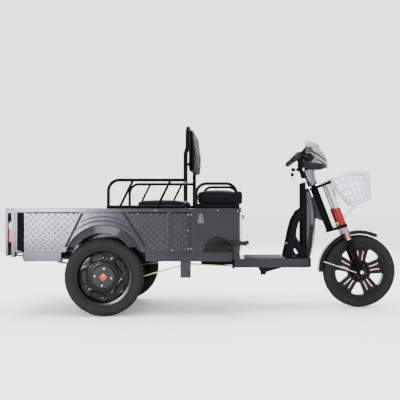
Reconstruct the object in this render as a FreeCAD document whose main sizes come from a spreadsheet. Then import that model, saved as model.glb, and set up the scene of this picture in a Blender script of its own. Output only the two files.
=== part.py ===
import FreeCAD
import Part
import Sketcher
import math
import os
from FreeCAD import Placement, Rotation, Vector

# Electric cargo tricycle: one steered front wheel, a sheet-metal cargo bed on two rear wheels,
# a driver's seat on the battery box, and a step-through footboard between them.
# Frame: +X forward, +Y to the rider's left, +Z up, origin on the ground under the middle of the box.

SIZES = (
    ("rear_overhang", 570, "rear axle to the tail"),
    ("tyre_radius", 230, "outer radius of every tyre"),
    ("track_half", 360, "middle of the vehicle to a rear wheel's mid-plane"),
    ("rear_tyre_half", 40, "half the rear tyre's width"),
    ("front_tyre_half", 35, "half the front tyre's width"),
    ("bead_radius", 155, "bead seat radius of every rim"),
    ("tyre_wall", 11, "thickness of the tyre"),
    ("rear_flange_radius", 171, "rear rim flange"),
    ("front_flange_radius", 178, "front rim flange"),
    ("running_fit", 0.05, "radial clearance of a shaft in its bore"),
    ("seat_gap", 0.3, "clearance under a loose or soft piece"),
    ("sheet_wall", 3, "sheet metal thickness"),
    ("bed_half_width", 390, "middle to the outer face of a side panel"),
    ("floor_height", 374, "underside of the bed floor"),
    ("rim_height", 628, "top of the bed rim"),
    ("rim_band", 22, "height of the rolled rim"),
    ("rim_depth", 33, "width of the rolled rim"),
    ("rim_proud", 3, "rim standing out of the side panel"),
    ("sill_drop", 54, "height of rails and sills under the floor"),
    ("seat_box_offset", 503, "rear axle to the seat box"),
    ("seat_box_length", 290, "length of the seat box"),
    ("rail_offset", 230, "middle to a chassis rail"),
    ("rail_width", 40, "width of a chassis rail"),
    ("rail_wall", 3, "wall of the chassis tubes"),
    ("rail_tail_gap", 55, "tail to the rear end of the rails"),
    ("cross_depth", 40, "size of a cross member along the vehicle"),
    ("cross_inset", 6, "cross member top and bottom inside the rail height"),
    ("sill_width", 30, "width of a side sill"),
    ("sill_inset", 10, "sill behind the side panel's outer face"),
    ("sill_tail_gap", 105, "tail to the rear end of the sills"),
    ("sill_front_gap", 47, "front end of the sills behind the seat box front"),
    ("wheel_room", 245, "half length left free for a rear wheel"),
    ("well_half_length", 255, "half length of a wheel well"),
    ("well_inner", 295, "middle to the inner face of a wheel well"),
    ("well_height", 166, "wheel well roof above the floor"),
    ("arch_lift", 75, "centre of the wheel arch above the axle"),
    ("arch_radius", 228, "wheel arch opening in the side panel"),
    ("flare_mouth", 183, "inner radius of the fender lip"),
    ("flare_reach", 40, "fender lip standing out of the side panel"),
    ("flare_plate", 6, "raised plate of the fender"),
    ("flare_low", 405, "lower edge of the fender"),
    ("flare_top", 602, "upper edge of the fender plate"),
    ("flare_top_rear", 127, "upper edge reaching behind the axle"),
    ("flare_top_front", 123, "upper edge reaching before the axle"),
    ("flare_low_rear", 225, "lower edge reaching behind the axle"),
    ("flare_low_front", 250, "lower edge reaching before the axle"),
    ("post_tail_gap", 38, "tail to the corner post"),
    ("post_size", 22, "corner post along the vehicle"),
    ("post_depth", 27, "corner post across the vehicle"),
    ("post_low", 345, "foot of the corner post"),
    ("rib_width", 23, "vertical rib on the side panel"),
    ("rib_offset", 384, "rear axle to the middle of the rib"),
    ("lamp_low", 431, "bottom of the tail light"),
    ("lamp_high", 552, "top of the tail light"),
    ("lamp_width", 20, "tail light across the vehicle"),
    ("lamp_depth", 16.6, "tail light along the vehicle"),
    ("gate_thickness", 15, "tailgate thickness"),
    ("gate_inset", 3, "tail to the tailgate skin"),
    ("gate_side_gap", 2, "tailgate inside the side panels' outer faces"),
    ("gate_edge", 22, "folded edge of the tailgate"),
    ("gate_top_gap", 3, "tailgate under the rim"),
    ("gate_axis_height", 347, "height of the tailgate hinge"),
    ("gate_axis_inset", 5, "tail to the tailgate hinge axis"),
    ("hinge_radius", 5, "hinge barrel"),
    ("hinge_pin_radius", 3, "hinge pin"),
    ("hinge_length", 60, "length of a hinge"),
    ("ledge_width", 20, "ledge that carries the passenger pad"),
    ("cargo_tube_radius", 9.5, "cargo rail tube"),
    ("cargo_bar_radius", 7.5, "slanted bar of the cargo rail"),
    ("cargo_rail_top", 175, "top of the cargo rail above the rim"),
    ("cargo_rail_bend", 64, "bend of the cargo rail"),
    ("cargo_rail_rear", 27, "rear post of the rail before the rear axle"),
    ("cargo_bar_first", 94, "foot of the first slanted bar before the axle"),
    ("cargo_bar_step", 218, "distance between the slanted bars"),
    ("cargo_bar_lean", 77, "lean of a slanted bar"),
    ("tube_inset", 18, "rails and armrests inside the panel's outer face"),
    ("armrest_radius", 9, "armrest tube"),
    ("armrest_bar_radius", 7.5, "lower bar of the armrest"),
    ("armrest_top", 154, "top of the armrest above the rim"),
    ("armrest_bend", 60, "bend of the armrest"),
    ("armrest_rear", 35, "rear armrest post before the seat box rear"),
    ("armrest_front", 21, "front armrest post behind the seat box front"),
    ("back_tube_radius", 12.5, "backrest tube"),
    ("back_bar_radius", 8, "backrest cross bar"),
    ("back_post_offset", 27, "backrest post behind the seat box rear"),
    ("back_top", 487, "top of the backrest above the rim"),
    ("back_lean", 12, "upper backrest standing before its posts"),
    ("back_kink_low", 317, "start of the backrest's kink above the rim"),
    ("back_kink_high", 357, "end of the backrest's kink above the rim"),
    ("back_bend", 60, "upper corner bend of the backrest"),
    ("back_low_bar", 257, "lower backrest cross bar above the rim"),
    ("back_high_bar", 417, "upper backrest cross bar above the rim"),
    ("back_bolt_low", 38, "lower backrest bolt above the rim"),
    ("back_bolt_high", 150, "upper backrest bolt above the rim"),
    ("back_cushion_low", 221, "bottom of the back cushion above the rim"),
    ("back_cushion_high", 469, "top of the back cushion above the rim"),
    ("back_cushion_gap", 41.5, "back cushion inside the backrest's posts"),
    ("back_cushion_depth", 33, "thickness of the back cushion"),
    ("seat_side_gap", 33, "seat inside the armrests"),
    ("seat_rear_gap", 36, "seat before the seat box rear"),
    ("seat_nose", 16, "seat front before the seat box front"),
    ("seat_base_height", 28, "seat base above the rim"),
    ("seat_cushion_height", 88, "seat cushion above its base"),
    ("seat_crown", 24, "crown of the seat cushion"),
    ("seat_flange_rear", 52, "deck behind the seat"),
    ("seat_flange_front", 20, "front flange of the seat box"),
    ("cover_depth", 10, "front cover of the seat box"),
    ("cover_top_gap", 16, "front cover under the rim"),
    ("pad_side_gap", 10, "passenger pad inside the bed rim"),
    ("pad_rear", 186, "rear edge of the passenger pad before the axle"),
    ("pad_front_gap", 43, "passenger pad behind the seat box"),
    ("pad_height", 50, "thickness of the passenger pad"),
    ("pad_crown", 12, "crown of the passenger pad"),
    ("foot_half_width", 160, "half the footboard's width"),
    ("foot_overlap", 38, "footboard under the seat box"),
    ("foot_reach", 444, "footboard before the seat box"),
    ("axle_ahead", 313, "front axle before the footboard"),
    ("foot_height", 55, "height of the footboard"),
    ("foot_gap", 1, "footboard under the sills"),
    ("foot_corner", 70, "front corner of the footboard"),
    ("mat_thickness", 4, "floor mat"),
    ("mat_margin", 14, "footboard around the mat"),
    ("mat_front_gap", 5, "floor mat behind the knee guard"),
    ("spine_half_width", 30, "half the backbone's width"),
    ("spine_height", 47, "height of the backbone"),
    ("spine_rear", 42, "rear end of the backbone before the seat box rear"),
    ("column_radius", 16, "front column"),
    ("column_setback", 20, "column behind the footboard's front"),
    ("column_lean", 18, "column's top before its foot"),
    ("column_top", 690, "top of the front column"),
    ("head_radius", 24, "head tube"),
    ("stem_radius", 15, "steering stem"),
    ("rake_angle", 21, "rake of the steering axis in degrees"),
    ("fork_offset", 78, "steering axis behind the fork legs"),
    ("fork_half", 90, "middle to a fork leg"),
    ("stanchion_radius", 14, "fork stanchion"),
    ("slider_radius", 18, "fork slider"),
    ("slider_top", 216, "axle to the top of a slider"),
    ("stanchion_foot", 70, "axle to the foot of a stanchion"),
    ("fork_travel", 30, "travel of the fork"),
    ("lower_crown", 300, "axle to the lower crown"),
    ("upper_crown", 585, "axle to the upper crown"),
    ("crown_height", 18, "height of a crown"),
    ("sleeve_radius", 21, "red sleeve of the fork"),
    ("sleeve_top", 428, "axle to the top of the sleeve"),
    ("coil_radius", 20, "mean radius of a fork spring"),
    ("coil_wire", 2.2, "wire radius of a fork spring"),
    ("coil_turns", 8, "turns of a fork spring"),
    ("stem_top", 760, "axle to the top of the stem"),
    ("neck_radius", 24, "collar under the head cowl"),
    ("axle_radius", 6, "front axle"),
    ("axle_half", 118, "half the front axle's length"),
    ("fender_radius", 260, "front fender's outer radius"),
    ("fender_half", 48, "half the front fender's width"),
    ("fender_skirt", 24, "side skirt of the front fender"),
    ("fender_wall", 2.5, "thickness of the front fender"),
    ("fender_sweep", 117, "angle of the front fender in degrees"),
    ("fender_back", 91, "fender behind the vertical in degrees"),
    ("bar_radius", 11, "handlebar tube"),
    ("grip_radius", 17, "grips"),
    ("grip_length", 112, "length of a grip"),
    ("lever_radius", 5, "brake lever"),
    ("basket_bottom", 405, "axle to the basket's floor, along the fork"),
    ("basket_height", 210, "height of the basket"),
    ("basket_wall", 4, "basket wall"),
    ("basket_rail", 12, "solid edge of the basket"),
    ("basket_low_rear", 96, "basket floor's rear edge before the fork"),
    ("basket_low_front", 226, "basket floor's front edge before the fork"),
    ("basket_high_rear", 26, "basket rim's rear edge before the fork"),
    ("basket_high_front", 282, "basket rim's front edge before the fork"),
    ("basket_front_rim", 628, "level front part of the basket's rim above the axle"),
    ("basket_low_half", 112, "half the basket floor's width"),
    ("basket_high_half", 150, "half the basket rim's width"),
    ("axle_tube_radius", 32, "rear axle housing"),
    ("shaft_radius", 14, "half shaft"),
    ("axle_tube_half", 318, "half the rear axle housing"),
    ("drum_radius", 82, "brake drum"),
    ("motor_radius", 65, "drive motor"),
    ("motor_half", 75, "half the drive motor's length"),
    ("motor_offset", 95, "drive motor before the rear axle"),
    ("leaf_half", 300, "half the leaf spring's length"),
    ("leaf_width", 45, "width of a leaf"),
    ("leaf_thickness", 7, "thickness of a leaf"),
    ("leaf_camber", 20.4, "camber of the leaf spring"),
    ("axle_travel", 25, "travel of the rear axle"),
)

doc = FreeCAD.newDocument("CargoTricycle")
sheet = doc.addObject("Spreadsheet::Sheet", "Sizes")
for row, (alias, value, meaning) in enumerate(SIZES, start=1):
    sheet.set(f"A{row}", meaning)
    sheet.set(f"B{row}", str(value))
    sheet.setAlias(f"B{row}", alias)
doc.recompute()


class Dim:
    """A length with its value and the sheet formula that gives it."""

    def __init__(self, value, formula):
        self.value = value
        self.formula = formula

    def __float__(self):
        return self.value

    def __add__(self, other):
        other = as_dim(other)
        return Dim(self.value + other.value, f"({self.formula} + {other.formula})")

    def __sub__(self, other):
        other = as_dim(other)
        return Dim(self.value - other.value, f"({self.formula} - {other.formula})")

    def __mul__(self, factor):
        return Dim(self.value * factor, f"({self.formula} * {factor!r})")

    def __truediv__(self, factor):
        return Dim(self.value / factor, f"({self.formula} / {factor!r})")

    def __neg__(self):
        return Dim(-self.value, f"(0 - {self.formula})")

    def __rsub__(self, other):
        return as_dim(other) - self

    __radd__ = __add__
    __rmul__ = __mul__


def as_dim(value):
    return value if isinstance(value, Dim) else Dim(float(value), repr(float(value)))


class SheetSizes:
    """Gives each sheet cell as a Dim under its alias."""

    def __getattr__(self, alias):
        return Dim(float(sheet.get(alias)), "Sizes." + alias)


S = SheetSizes()

# Places along the vehicle and heights that several pieces share
WHEEL_BASE = S.seat_box_offset + S.seat_box_length + S.foot_reach + S.axle_ahead
TAIL = -(S.rear_overhang + WHEEL_BASE + S.tyre_radius) / 2
REAR = TAIL + S.rear_overhang
FRONT = REAR + WHEEL_BASE
BOX_REAR = REAR + S.seat_box_offset
BOX_FRONT = BOX_REAR + S.seat_box_length
SILL_LOW = S.floor_height - S.sill_drop
FLOOR_TOP = S.floor_height + S.sheet_wall
RIM_LOW = S.rim_height - S.rim_band
PANEL_INNER = S.bed_half_width - S.sheet_wall
RIM_OUTER = S.bed_half_width + S.rim_proud
RIM_INNER = RIM_OUTER - S.rim_depth
TUBE_Y = S.bed_half_width - S.tube_inset
SEAT_HALF = TUBE_Y - S.armrest_radius - S.seat_side_gap
ARCH_Z = S.tyre_radius + S.arch_lift
FOOT_TOP = SILL_LOW - S.foot_gap
FOOT_LOW = FOOT_TOP - S.foot_height
FOOT_FRONT = BOX_FRONT + S.foot_reach
SPINE_TOP = FOOT_TOP - S.sheet_wall
SPINE_LOW = SPINE_TOP - S.spine_height
BACK_X = BOX_REAR - S.back_post_offset
SIDES = (("right", -1), ("left", 1))

SUBPARTS = []


def subpart(obj, label):
    """Names a finished piece and puts it on the list of files to write."""
    obj.Label = label
    SUBPARTS.append(obj)
    return obj


def vec(x, y, z):
    return Vector(float(x), float(y), float(z))


def size(obj, prop, value):
    """Sets a property, tied to the sheet where the value comes from it."""
    setattr(obj, prop, float(value))
    if isinstance(value, Dim):
        obj.setExpression(prop, value.formula)


def place(obj, x=0, y=0, z=0, axis=(0, 0, 1), turn=0):
    """Places a piece, tied to the sheet where its place comes from it."""
    obj.Placement = Placement(vec(x, y, z), Rotation(Vector(*axis), float(turn)))
    for prop, value in (("Base.x", x), ("Base.y", y), ("Base.z", z), ("Rotation.Angle", turn)):
        if isinstance(value, Dim):
            obj.setExpression("Placement." + prop, value.formula)
    return obj


def on_fork(obj):
    """Places a piece drawn in the fork's frame: origin at the front axle, Z up the fork legs."""
    if obj.TypeId in ("Part::Box", "Part::Cylinder"):
        obj = group(obj.Name + "_held", obj)
    return place(obj, FRONT, 0, S.tyre_radius, axis=(0, -1, 0), turn=S.rake_angle)


def fork_point(x, y, along):
    """World point of a place in the fork's frame."""
    rake = math.radians(float(S.rake_angle))
    across, up = float(x), float(along)
    return vec(float(FRONT) + across * math.cos(rake) - up * math.sin(rake), y,
               float(S.tyre_radius) + across * math.sin(rake) + up * math.cos(rake))


def box(name, x_low, x_high, y_low, y_high, z_low, z_high):
    solid = doc.addObject("Part::Box", name)
    size(solid, "Length", x_high - x_low)
    size(solid, "Width", y_high - y_low)
    size(solid, "Height", z_high - z_low)
    return place(solid, x_low, y_low, z_low)


AXIS_TURNS = {"x": ((0, 1, 0), 90), "y": ((1, 0, 0), -90), "z": ((0, 0, 1), 0)}


def rod(name, axis, radius, length, x, y, z):
    """Cylinder that starts at a point and runs along +X, +Y or +Z."""
    solid = doc.addObject("Part::Cylinder", name)
    size(solid, "Radius", radius)
    size(solid, "Height", length)
    turn_axis, turn = AXIS_TURNS[axis]
    return place(solid, x, y, z, turn_axis, turn)


def bar(name, start, end, radius):
    """Round bar between two points."""
    first, last = vec(*start), vec(*end)
    solid = doc.addObject("Part::Cylinder", name)
    size(solid, "Radius", radius)
    solid.Height = (last - first).Length
    solid.Placement = Placement(first, Rotation(Vector(0, 0, 1), last - first))
    return solid


def cut(name, base, *tools):
    tool = tools[0] if len(tools) == 1 else group(name + "_tools", *tools)
    result = doc.addObject("Part::Cut", name)
    result.Base = base
    result.Tool = tool
    return result


def fuse(name, *pieces, refine=True):
    result = doc.addObject("Part::MultiFuse", name)
    result.Shapes = list(pieces)
    result.Refine = refine
    return result


def common(name, *pieces):
    result = doc.addObject("Part::MultiCommon", name)
    result.Shapes = list(pieces)
    return result


def group(name, *pieces):
    result = doc.addObject("Part::Compound", name)
    result.Links = list(pieces)
    return result


def box_tube(name, axis, wall, *limits):
    """Rectangular tube, open at both ends along its axis."""
    inner = list(limits)
    for index in range(0, 6, 2):
        inset = -wall if "xyz"[index // 2] == axis else wall
        inner[index] = limits[index] + inset
        inner[index + 1] = limits[index + 1] - inset
    return cut(name, box(name + "_outer", *limits), box(name + "_bore", *inner))


PLANES = {"x": "YZ_Plane", "y": "XZ_Plane", "z": "XY_Plane"}


def outline(body, axis, corners, offset=0):
    """Closed sketch on an origin plane. A corner is (u, v), reached by a straight run, or
    (u, v, mid_u, mid_v), reached by an arc through the middle point. Corners are tied to the sheet."""
    sketch = body.newObject("Sketcher::SketchObject", "Outline")
    plane = next(item for item in body.Origin.OriginFeatures if item.Role == PLANES[axis])
    sketch.AttachmentSupport = [(plane, "")]
    sketch.MapMode = "FlatFace"
    sketch.AttachmentOffset = Placement(vec(0, 0, offset), Rotation())
    if isinstance(offset, Dim):
        sketch.setExpression("AttachmentOffset.Base.z", offset.formula)
    ends, pins = [], []
    for index, corner in enumerate(corners):
        start = vec(*corners[index - 1][:2], 0)
        end = vec(*corner[:2], 0)
        if len(corner) == 2:
            run = sketch.addGeometry(Part.LineSegment(start, end))
            ends.append((run, 1, 2))
            continue
        middle = vec(*corner[2:], 0)
        circle = Part.Circle(start, middle, end)
        forward = (middle - start).cross(end - middle).z > 0
        angles = [math.atan2(spot.y - circle.Center.y, spot.x - circle.Center.x) for spot in (start, end)]
        upright = Part.Circle(circle.Center, Vector(0, 0, 1), circle.Radius)
        run = sketch.addGeometry(Part.ArcOfCircle(upright, *(angles if forward else reversed(angles))))
        ends.append((run, 1, 2) if forward else (run, 2, 1))
        marker = sketch.addGeometry(Part.Point(middle), True)
        sketch.addConstraint(Sketcher.Constraint("PointOnObject", marker, 1, run))
        pins.append((marker, 1, corner[2:]))
    for index, (run, first, last) in enumerate(ends):
        before = ends[index - 1]
        sketch.addConstraint(Sketcher.Constraint("Coincident", before[0], before[2], run, first))
        pins.append((run, last, corners[index][:2]))
    for run, end, spot in pins:
        for kind, value in zip(("DistanceX", "DistanceY"), spot):
            pin = sketch.addConstraint(Sketcher.Constraint(kind, -1, 1, run, end, float(value)))
            if isinstance(value, Dim):
                sketch.setExpression(f"Constraints[{pin}]", value.formula)
    return sketch


def prism(name, axis, corners, low, high):
    """Outline carried along an axis from low to high. Corners are (X, Z) along Y, (Y, Z) along X
    and (X, Y) along Z. The XZ plane faces -Y, so there the outline starts at the high side."""
    body = doc.addObject("PartDesign::Body", name)
    sketch = outline(body, axis, corners, 0 - as_dim(high) if axis == "y" else low)
    pad = body.newObject("PartDesign::Pad", "Pad")
    pad.Profile = sketch
    size(pad, "Length", as_dim(high) - low)
    return body


def turned(name, corners, angle=360):
    """Outline of (axial, radial) corners turned about the Y axis."""
    body = doc.addObject("PartDesign::Body", name)
    sketch = outline(body, "x", corners)
    turn = body.newObject("PartDesign::Revolution", "Revolution")
    turn.Profile = sketch
    turn.ReferenceAxis = (sketch, ["H_Axis"])
    size(turn, "Angle", angle)
    return body


def rounded_path(points, bend):
    """Wire of straight runs joined by tangent arcs of one radius."""
    corners = [vec(*point) for point in points]
    edges = []
    start = corners[0]
    for before, corner, after in zip(corners, corners[1:], corners[2:]):
        back = (before - corner).normalize()
        ahead = (after - corner).normalize()
        half_turn = (math.pi - back.getAngle(ahead)) / 2
        reach = float(bend) * math.tan(half_turn)
        inward = (back + ahead).normalize()
        middle = corner + inward * float(bend) * (1 / math.cos(half_turn) - 1)
        entry, leave = corner + back * reach, corner + ahead * reach
        edges.append(Part.LineSegment(start, entry).toShape())
        edges.append(Part.Arc(entry, middle, leave).toShape())
        start = leave
    edges.append(Part.LineSegment(start, corners[-1]).toShape())
    return Part.Wire(edges)


def tube(name, points, radius, bend):
    """Round tube swept along straight runs with tangent bends."""
    path = doc.addObject("Part::Feature", name + "_path")
    path.Shape = rounded_path(points, bend)
    section = doc.addObject("Part::Circle", name + "_section")
    size(section, "Radius", radius)
    first, second = vec(*points[0]), vec(*points[1])
    section.Placement = Placement(first, Rotation(Vector(0, 0, 1), second - first))
    sweep = doc.addObject("Part::Sweep", name)
    sweep.Sections = [section]
    sweep.Spine = (path, [f"Edge{number + 1}" for number in range(len(path.Shape.Edges))])
    sweep.Solid = True
    return sweep


def shaped(name, shape):
    """Piece whose form is lofted or coiled from the sheet's sizes."""
    piece = doc.addObject("Part::Feature", name)
    piece.Shape = shape
    return piece


def softened(half_u, half_v, corner, draw):
    """Rounded rectangle in the XY plane whose four sides are drawn in between the corners."""
    u, v, c = float(half_u), float(half_v), float(corner)
    k = c * (1 - math.sqrt(0.5))
    d = float(draw)
    runs = (
        ((-u + c, -v), (0, -v + d), (u - c, -v)), ((u - c, -v), (u - k, -v + k), (u, -v + c)),
        ((u, -v + c), (u - d, 0), (u, v - c)), ((u, v - c), (u - k, v - k), (u - c, v)),
        ((u - c, v), (0, v - d), (-u + c, v)), ((-u + c, v), (-u + k, v - k), (-u, v - c)),
        ((-u, v - c), (-u + d, 0), (-u, -v + c)), ((-u, -v + c), (-u + k, -v + k), (-u + c, -v)),
    )
    return Part.Wire([Part.Arc(*(Vector(*point, 0) for point in run)).toShape() for run in runs])


def cushion(half_u, half_v, height, crown, corner, draw):
    """Cushion that stands on the XY plane: full at its belt, drawn in at the foot, crowned on top."""
    tall, rise = float(height), float(crown)
    belt = tall - rise
    levels = ((0, 6), (belt * 0.35, 0), (belt * 0.8, 1), (belt + rise * 0.35, rise * 0.38),
              (belt + rise * 0.75, rise * 1.4), (tall, rise * 3.3))
    wires = []
    for level, inset in levels:
        wire = softened(float(half_u) - inset, float(half_v) - inset, corner, draw)
        wire.translate(Vector(0, 0, level))
        wires.append(wire)
    return Part.makeLoft(wires, True, False)


def tangent_arc(start, heading, end):
    """Arc that leaves a point along a heading and ends at another point."""
    chord = end - start
    side = chord - heading * chord.dot(heading)
    side.normalize()
    radius = chord.dot(chord) / (2 * chord.dot(side))
    centre = start + side * radius
    middle = (start - centre) + (end - centre)
    return Part.Arc(start, centre + middle.normalize() * radius, end).toShape()


def coil(radius, wire_radius, turns, low, high):
    """Coil spring about Z: a round wire along a helix made of two tangent arcs each quarter turn."""
    r, w, count = float(radius), float(wire_radius), int(float(turns)) * 4
    pitch = (float(high) - float(low) - 2 * w) / (count / 4)
    climb = pitch / (2 * math.pi)

    def point(turn):
        return Vector(r * math.cos(turn), r * math.sin(turn), float(low) + w + climb * turn)

    def heading(turn):
        return Vector(-r * math.sin(turn), r * math.cos(turn), climb).normalize()

    edges = []
    for quarter in range(count):
        a, b = quarter * math.pi / 2, (quarter + 1) * math.pi / 2
        p, q, s, e = point(a), point(b), heading(a), heading(b)
        chord, both = q - p, s + e
        spread = 2 * (1 - s.dot(e))
        along = chord.dot(both)
        reach = (-along + math.sqrt(along * along + spread * chord.dot(chord))) / spread
        joint = (p + q + (s - e) * reach) * 0.5
        edges.append(tangent_arc(p, s, joint))
        edges.append(Part.Edge(tangent_arc(q, -e, joint)).reversed())
    path = Part.Wire(Part.__sortEdges__(edges))
    section = Part.Wire(Part.makeCircle(w, point(0), heading(0)))
    print(f"fork spring: gap between turns {pitch - 2 * w:.2f} mm")
    return path.makePipeShell([section], True, False)


def hinge_leaf(name, x, z, y_mid):
    """Fixed half of a hinge along Y: a pin with a knuckle at each end."""
    half, knuckle = S.hinge_length / 2, S.hinge_length / 4
    pin = rod(name + "_pin", "y", S.hinge_pin_radius, S.hinge_length, x, y_mid - half, z)
    near = rod(name + "_near", "y", S.hinge_radius, knuckle, x, y_mid - half, z)
    far = rod(name + "_far", "y", S.hinge_radius, knuckle, x, y_mid + half - knuckle, z)
    return pin, near, far


def hinge_knuckle(name, x, z, y_mid):
    """Moving half of a hinge along Y: the middle knuckle and the bore through it."""
    half = S.hinge_length / 4 - S.seat_gap
    knuckle = rod(name, "y", S.hinge_radius, half * 2, x, y_mid - half, z)
    bore = rod(name + "_bore", "y", S.hinge_pin_radius + S.running_fit, half * 4, x, y_mid - half * 2, z)
    return knuckle, bore


# Chassis under the bed: two rails, four sills, cross members and spring hangers

def chassis_frame():
    rear_end, front_end = TAIL + S.rail_tail_gap, BOX_FRONT
    half = S.rail_width / 2
    inner, outer = S.rail_offset - half, S.rail_offset + half
    sill_out = S.bed_half_width - S.sill_inset
    sill_in = sill_out - S.sill_width
    tubes = []
    for side, sign in SIDES:
        low, high = sorted((inner * sign, outer * sign), key=float)
        tubes.append(box_tube("rail_" + side, "x", S.rail_wall, rear_end, front_end, low, high, SILL_LOW,
                              S.floor_height))
        low, high = sorted((sill_in * sign, sill_out * sign), key=float)
        tubes.append(box_tube("sill_rear_" + side, "x", S.rail_wall, TAIL + S.sill_tail_gap,
                              REAR - S.wheel_room, low, high, SILL_LOW, S.floor_height))
        tubes.append(box_tube("sill_front_" + side, "x", S.rail_wall, REAR + S.wheel_room,
                              BOX_FRONT - S.sill_front_gap, low, high, SILL_LOW, S.floor_height))
        low, high = sorted((inner * sign, outer * sign), key=float)
        for end, x in (("rear", REAR - S.leaf_half), ("front", REAR + S.leaf_half)):
            tubes.append(box(f"hanger_{end}_{side}", x - half, x + half, low, high,
                             SILL_LOW - HANGER_DROP, SILL_LOW))
    low, high = SILL_LOW + S.cross_inset, S.floor_height - S.cross_inset
    for number, middle in enumerate((TAIL + S.sill_tail_gap + S.cross_depth, REAR + S.leaf_half - S.cross_depth,
                                     BOX_REAR + S.cross_depth, BOX_FRONT - S.sill_front_gap - S.cross_depth)):
        rear, front = middle - S.cross_depth / 2, middle + S.cross_depth / 2
        spans = ((-inner, inner), (outer, sill_in), (-sill_in, -outer))
        for part, (right, left) in enumerate(spans):
            tubes.append(box_tube(f"cross_{number}_{part}", "y", S.rail_wall, rear, front, right, left, low, high))
    return subpart(group("ChassisFrame", *tubes), "chassis_frame")


HANGER_DROP = S.sheet_wall * 4


def front_frame():
    """Backbone under the footboard, column behind the leg shield, gusset and head tube."""
    rear = BOX_REAR + S.spine_rear
    spine = box("spine", rear, FOOT_FRONT - S.column_setback + S.column_radius / 2,
                -S.spine_half_width, S.spine_half_width, SPINE_LOW, SPINE_TOP)
    riser = box("riser", rear, BOX_FRONT - S.foot_overlap - S.sheet_wall * 4, -S.spine_half_width * 2,
                S.spine_half_width * 2, SPINE_TOP, SILL_LOW + S.cross_inset)
    foot = FOOT_FRONT - S.column_setback
    column = bar("column", (foot, 0, SPINE_LOW + S.spine_height / 2),
                 (foot + S.column_lean, 0, S.column_top), S.column_radius)
    head = on_fork(rod("head", "z", S.head_radius, HEAD_HIGH - HEAD_LOW, -S.fork_offset, 0, HEAD_LOW))
    low, high = fork_point(-S.fork_offset, 0, HEAD_LOW), fork_point(-S.fork_offset, 0, HEAD_HIGH)
    back = float(foot + S.column_lean)
    gusset = prism("gusset", "y", ((back, S.column_top), (back - 4, low.z + 84), (low.x - 55, low.z + 50),
                                   (low.x - 18, low.z + 46), (high.x + 12, high.z - 32)), -18, 18)
    bore = on_fork(rod("head_bore", "z", S.stem_radius + S.running_fit, HEAD_HIGH - HEAD_LOW + 20,
                       -S.fork_offset, 0, HEAD_LOW - 10))
    return subpart(cut("FrontFrame", fuse("front_weldment", spine, riser, column, head, gusset), bore), "front_frame")


HEAD_LOW = S.lower_crown + S.crown_height + 1
HEAD_HIGH = S.upper_crown - 1


# Cargo bed: floor, side panels, wheel wells, fenders, tail lights and tailgate

def well_box(name, side, sign, inset, low, high, out):
    inner, outer = (S.well_inner + inset) * sign, out * sign
    near, far = sorted((inner, outer), key=float)
    return box(name + side, REAR - S.well_half_length + inset, REAR + S.well_half_length - inset, near, far, low, high)


def bed_floor():
    plate = box("floor_plate", TAIL + S.post_tail_gap + S.post_size, BOX_REAR, -PANEL_INNER, PANEL_INNER, S.floor_height, FLOOR_TOP)
    rooms = [well_box("floor_room_", side, sign, 0, SILL_LOW, S.rim_height, S.bed_half_width) for side, sign in SIDES]
    return subpart(cut("BedFloor", plate, *rooms), "bed_floor")


def wheel_wells():
    wells = []
    roof = S.floor_height + S.well_height
    for side, sign in SIDES:
        shell = well_box("well_outer_", side, sign, 0, S.floor_height, roof, PANEL_INNER)
        room = well_box("well_room_", side, sign, S.sheet_wall, SILL_LOW, roof - S.sheet_wall, S.bed_half_width)
        wells.append(cut("well_" + side, shell, room))
    return subpart(group("WheelWells", *wells), "wheel_wells")


def side_panel(side, sign):
    def across(name, x_low, x_high, y_inner, y_outer, z_low, z_high):
        near, far = sorted((y_inner * sign, y_outer * sign), key=float)
        return box(name + side, x_low, x_high, near, far, z_low, z_high)

    post = TAIL + S.post_tail_gap
    skin = across("skin_", post, BOX_REAR, PANEL_INNER, S.bed_half_width, S.floor_height, RIM_LOW)
    arch = rod("arch_" + side, "y", S.arch_radius, S.bed_half_width * 4, REAR, S.bed_half_width * -2, ARCH_Z)
    rim = across("rim_", TAIL + S.gate_inset, BOX_REAR, RIM_INNER, RIM_OUTER, RIM_LOW, S.rim_height)
    corner = across("post_", post, post + S.post_size, RIM_OUTER - S.post_depth, RIM_OUTER, S.post_low, RIM_LOW)
    rib_x = REAR + S.rib_offset
    rib = across("rib_", rib_x - S.rib_width / 2, rib_x + S.rib_width / 2, PANEL_INNER, RIM_OUTER,
                 S.floor_height + S.rail_wall * 2, RIM_LOW)
    ledge = across("ledge_", REAR + S.pad_rear, BOX_REAR - S.pad_front_gap, RIM_INNER - S.ledge_width, RIM_INNER,
                   RIM_LOW + S.rim_band / 2, S.rim_height)
    panel = fuse("SidePanel_" + side, cut("arched_skin_" + side, skin, arch), rim, corner, rib, ledge)
    return subpart(panel, "side_panel_" + side)


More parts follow.
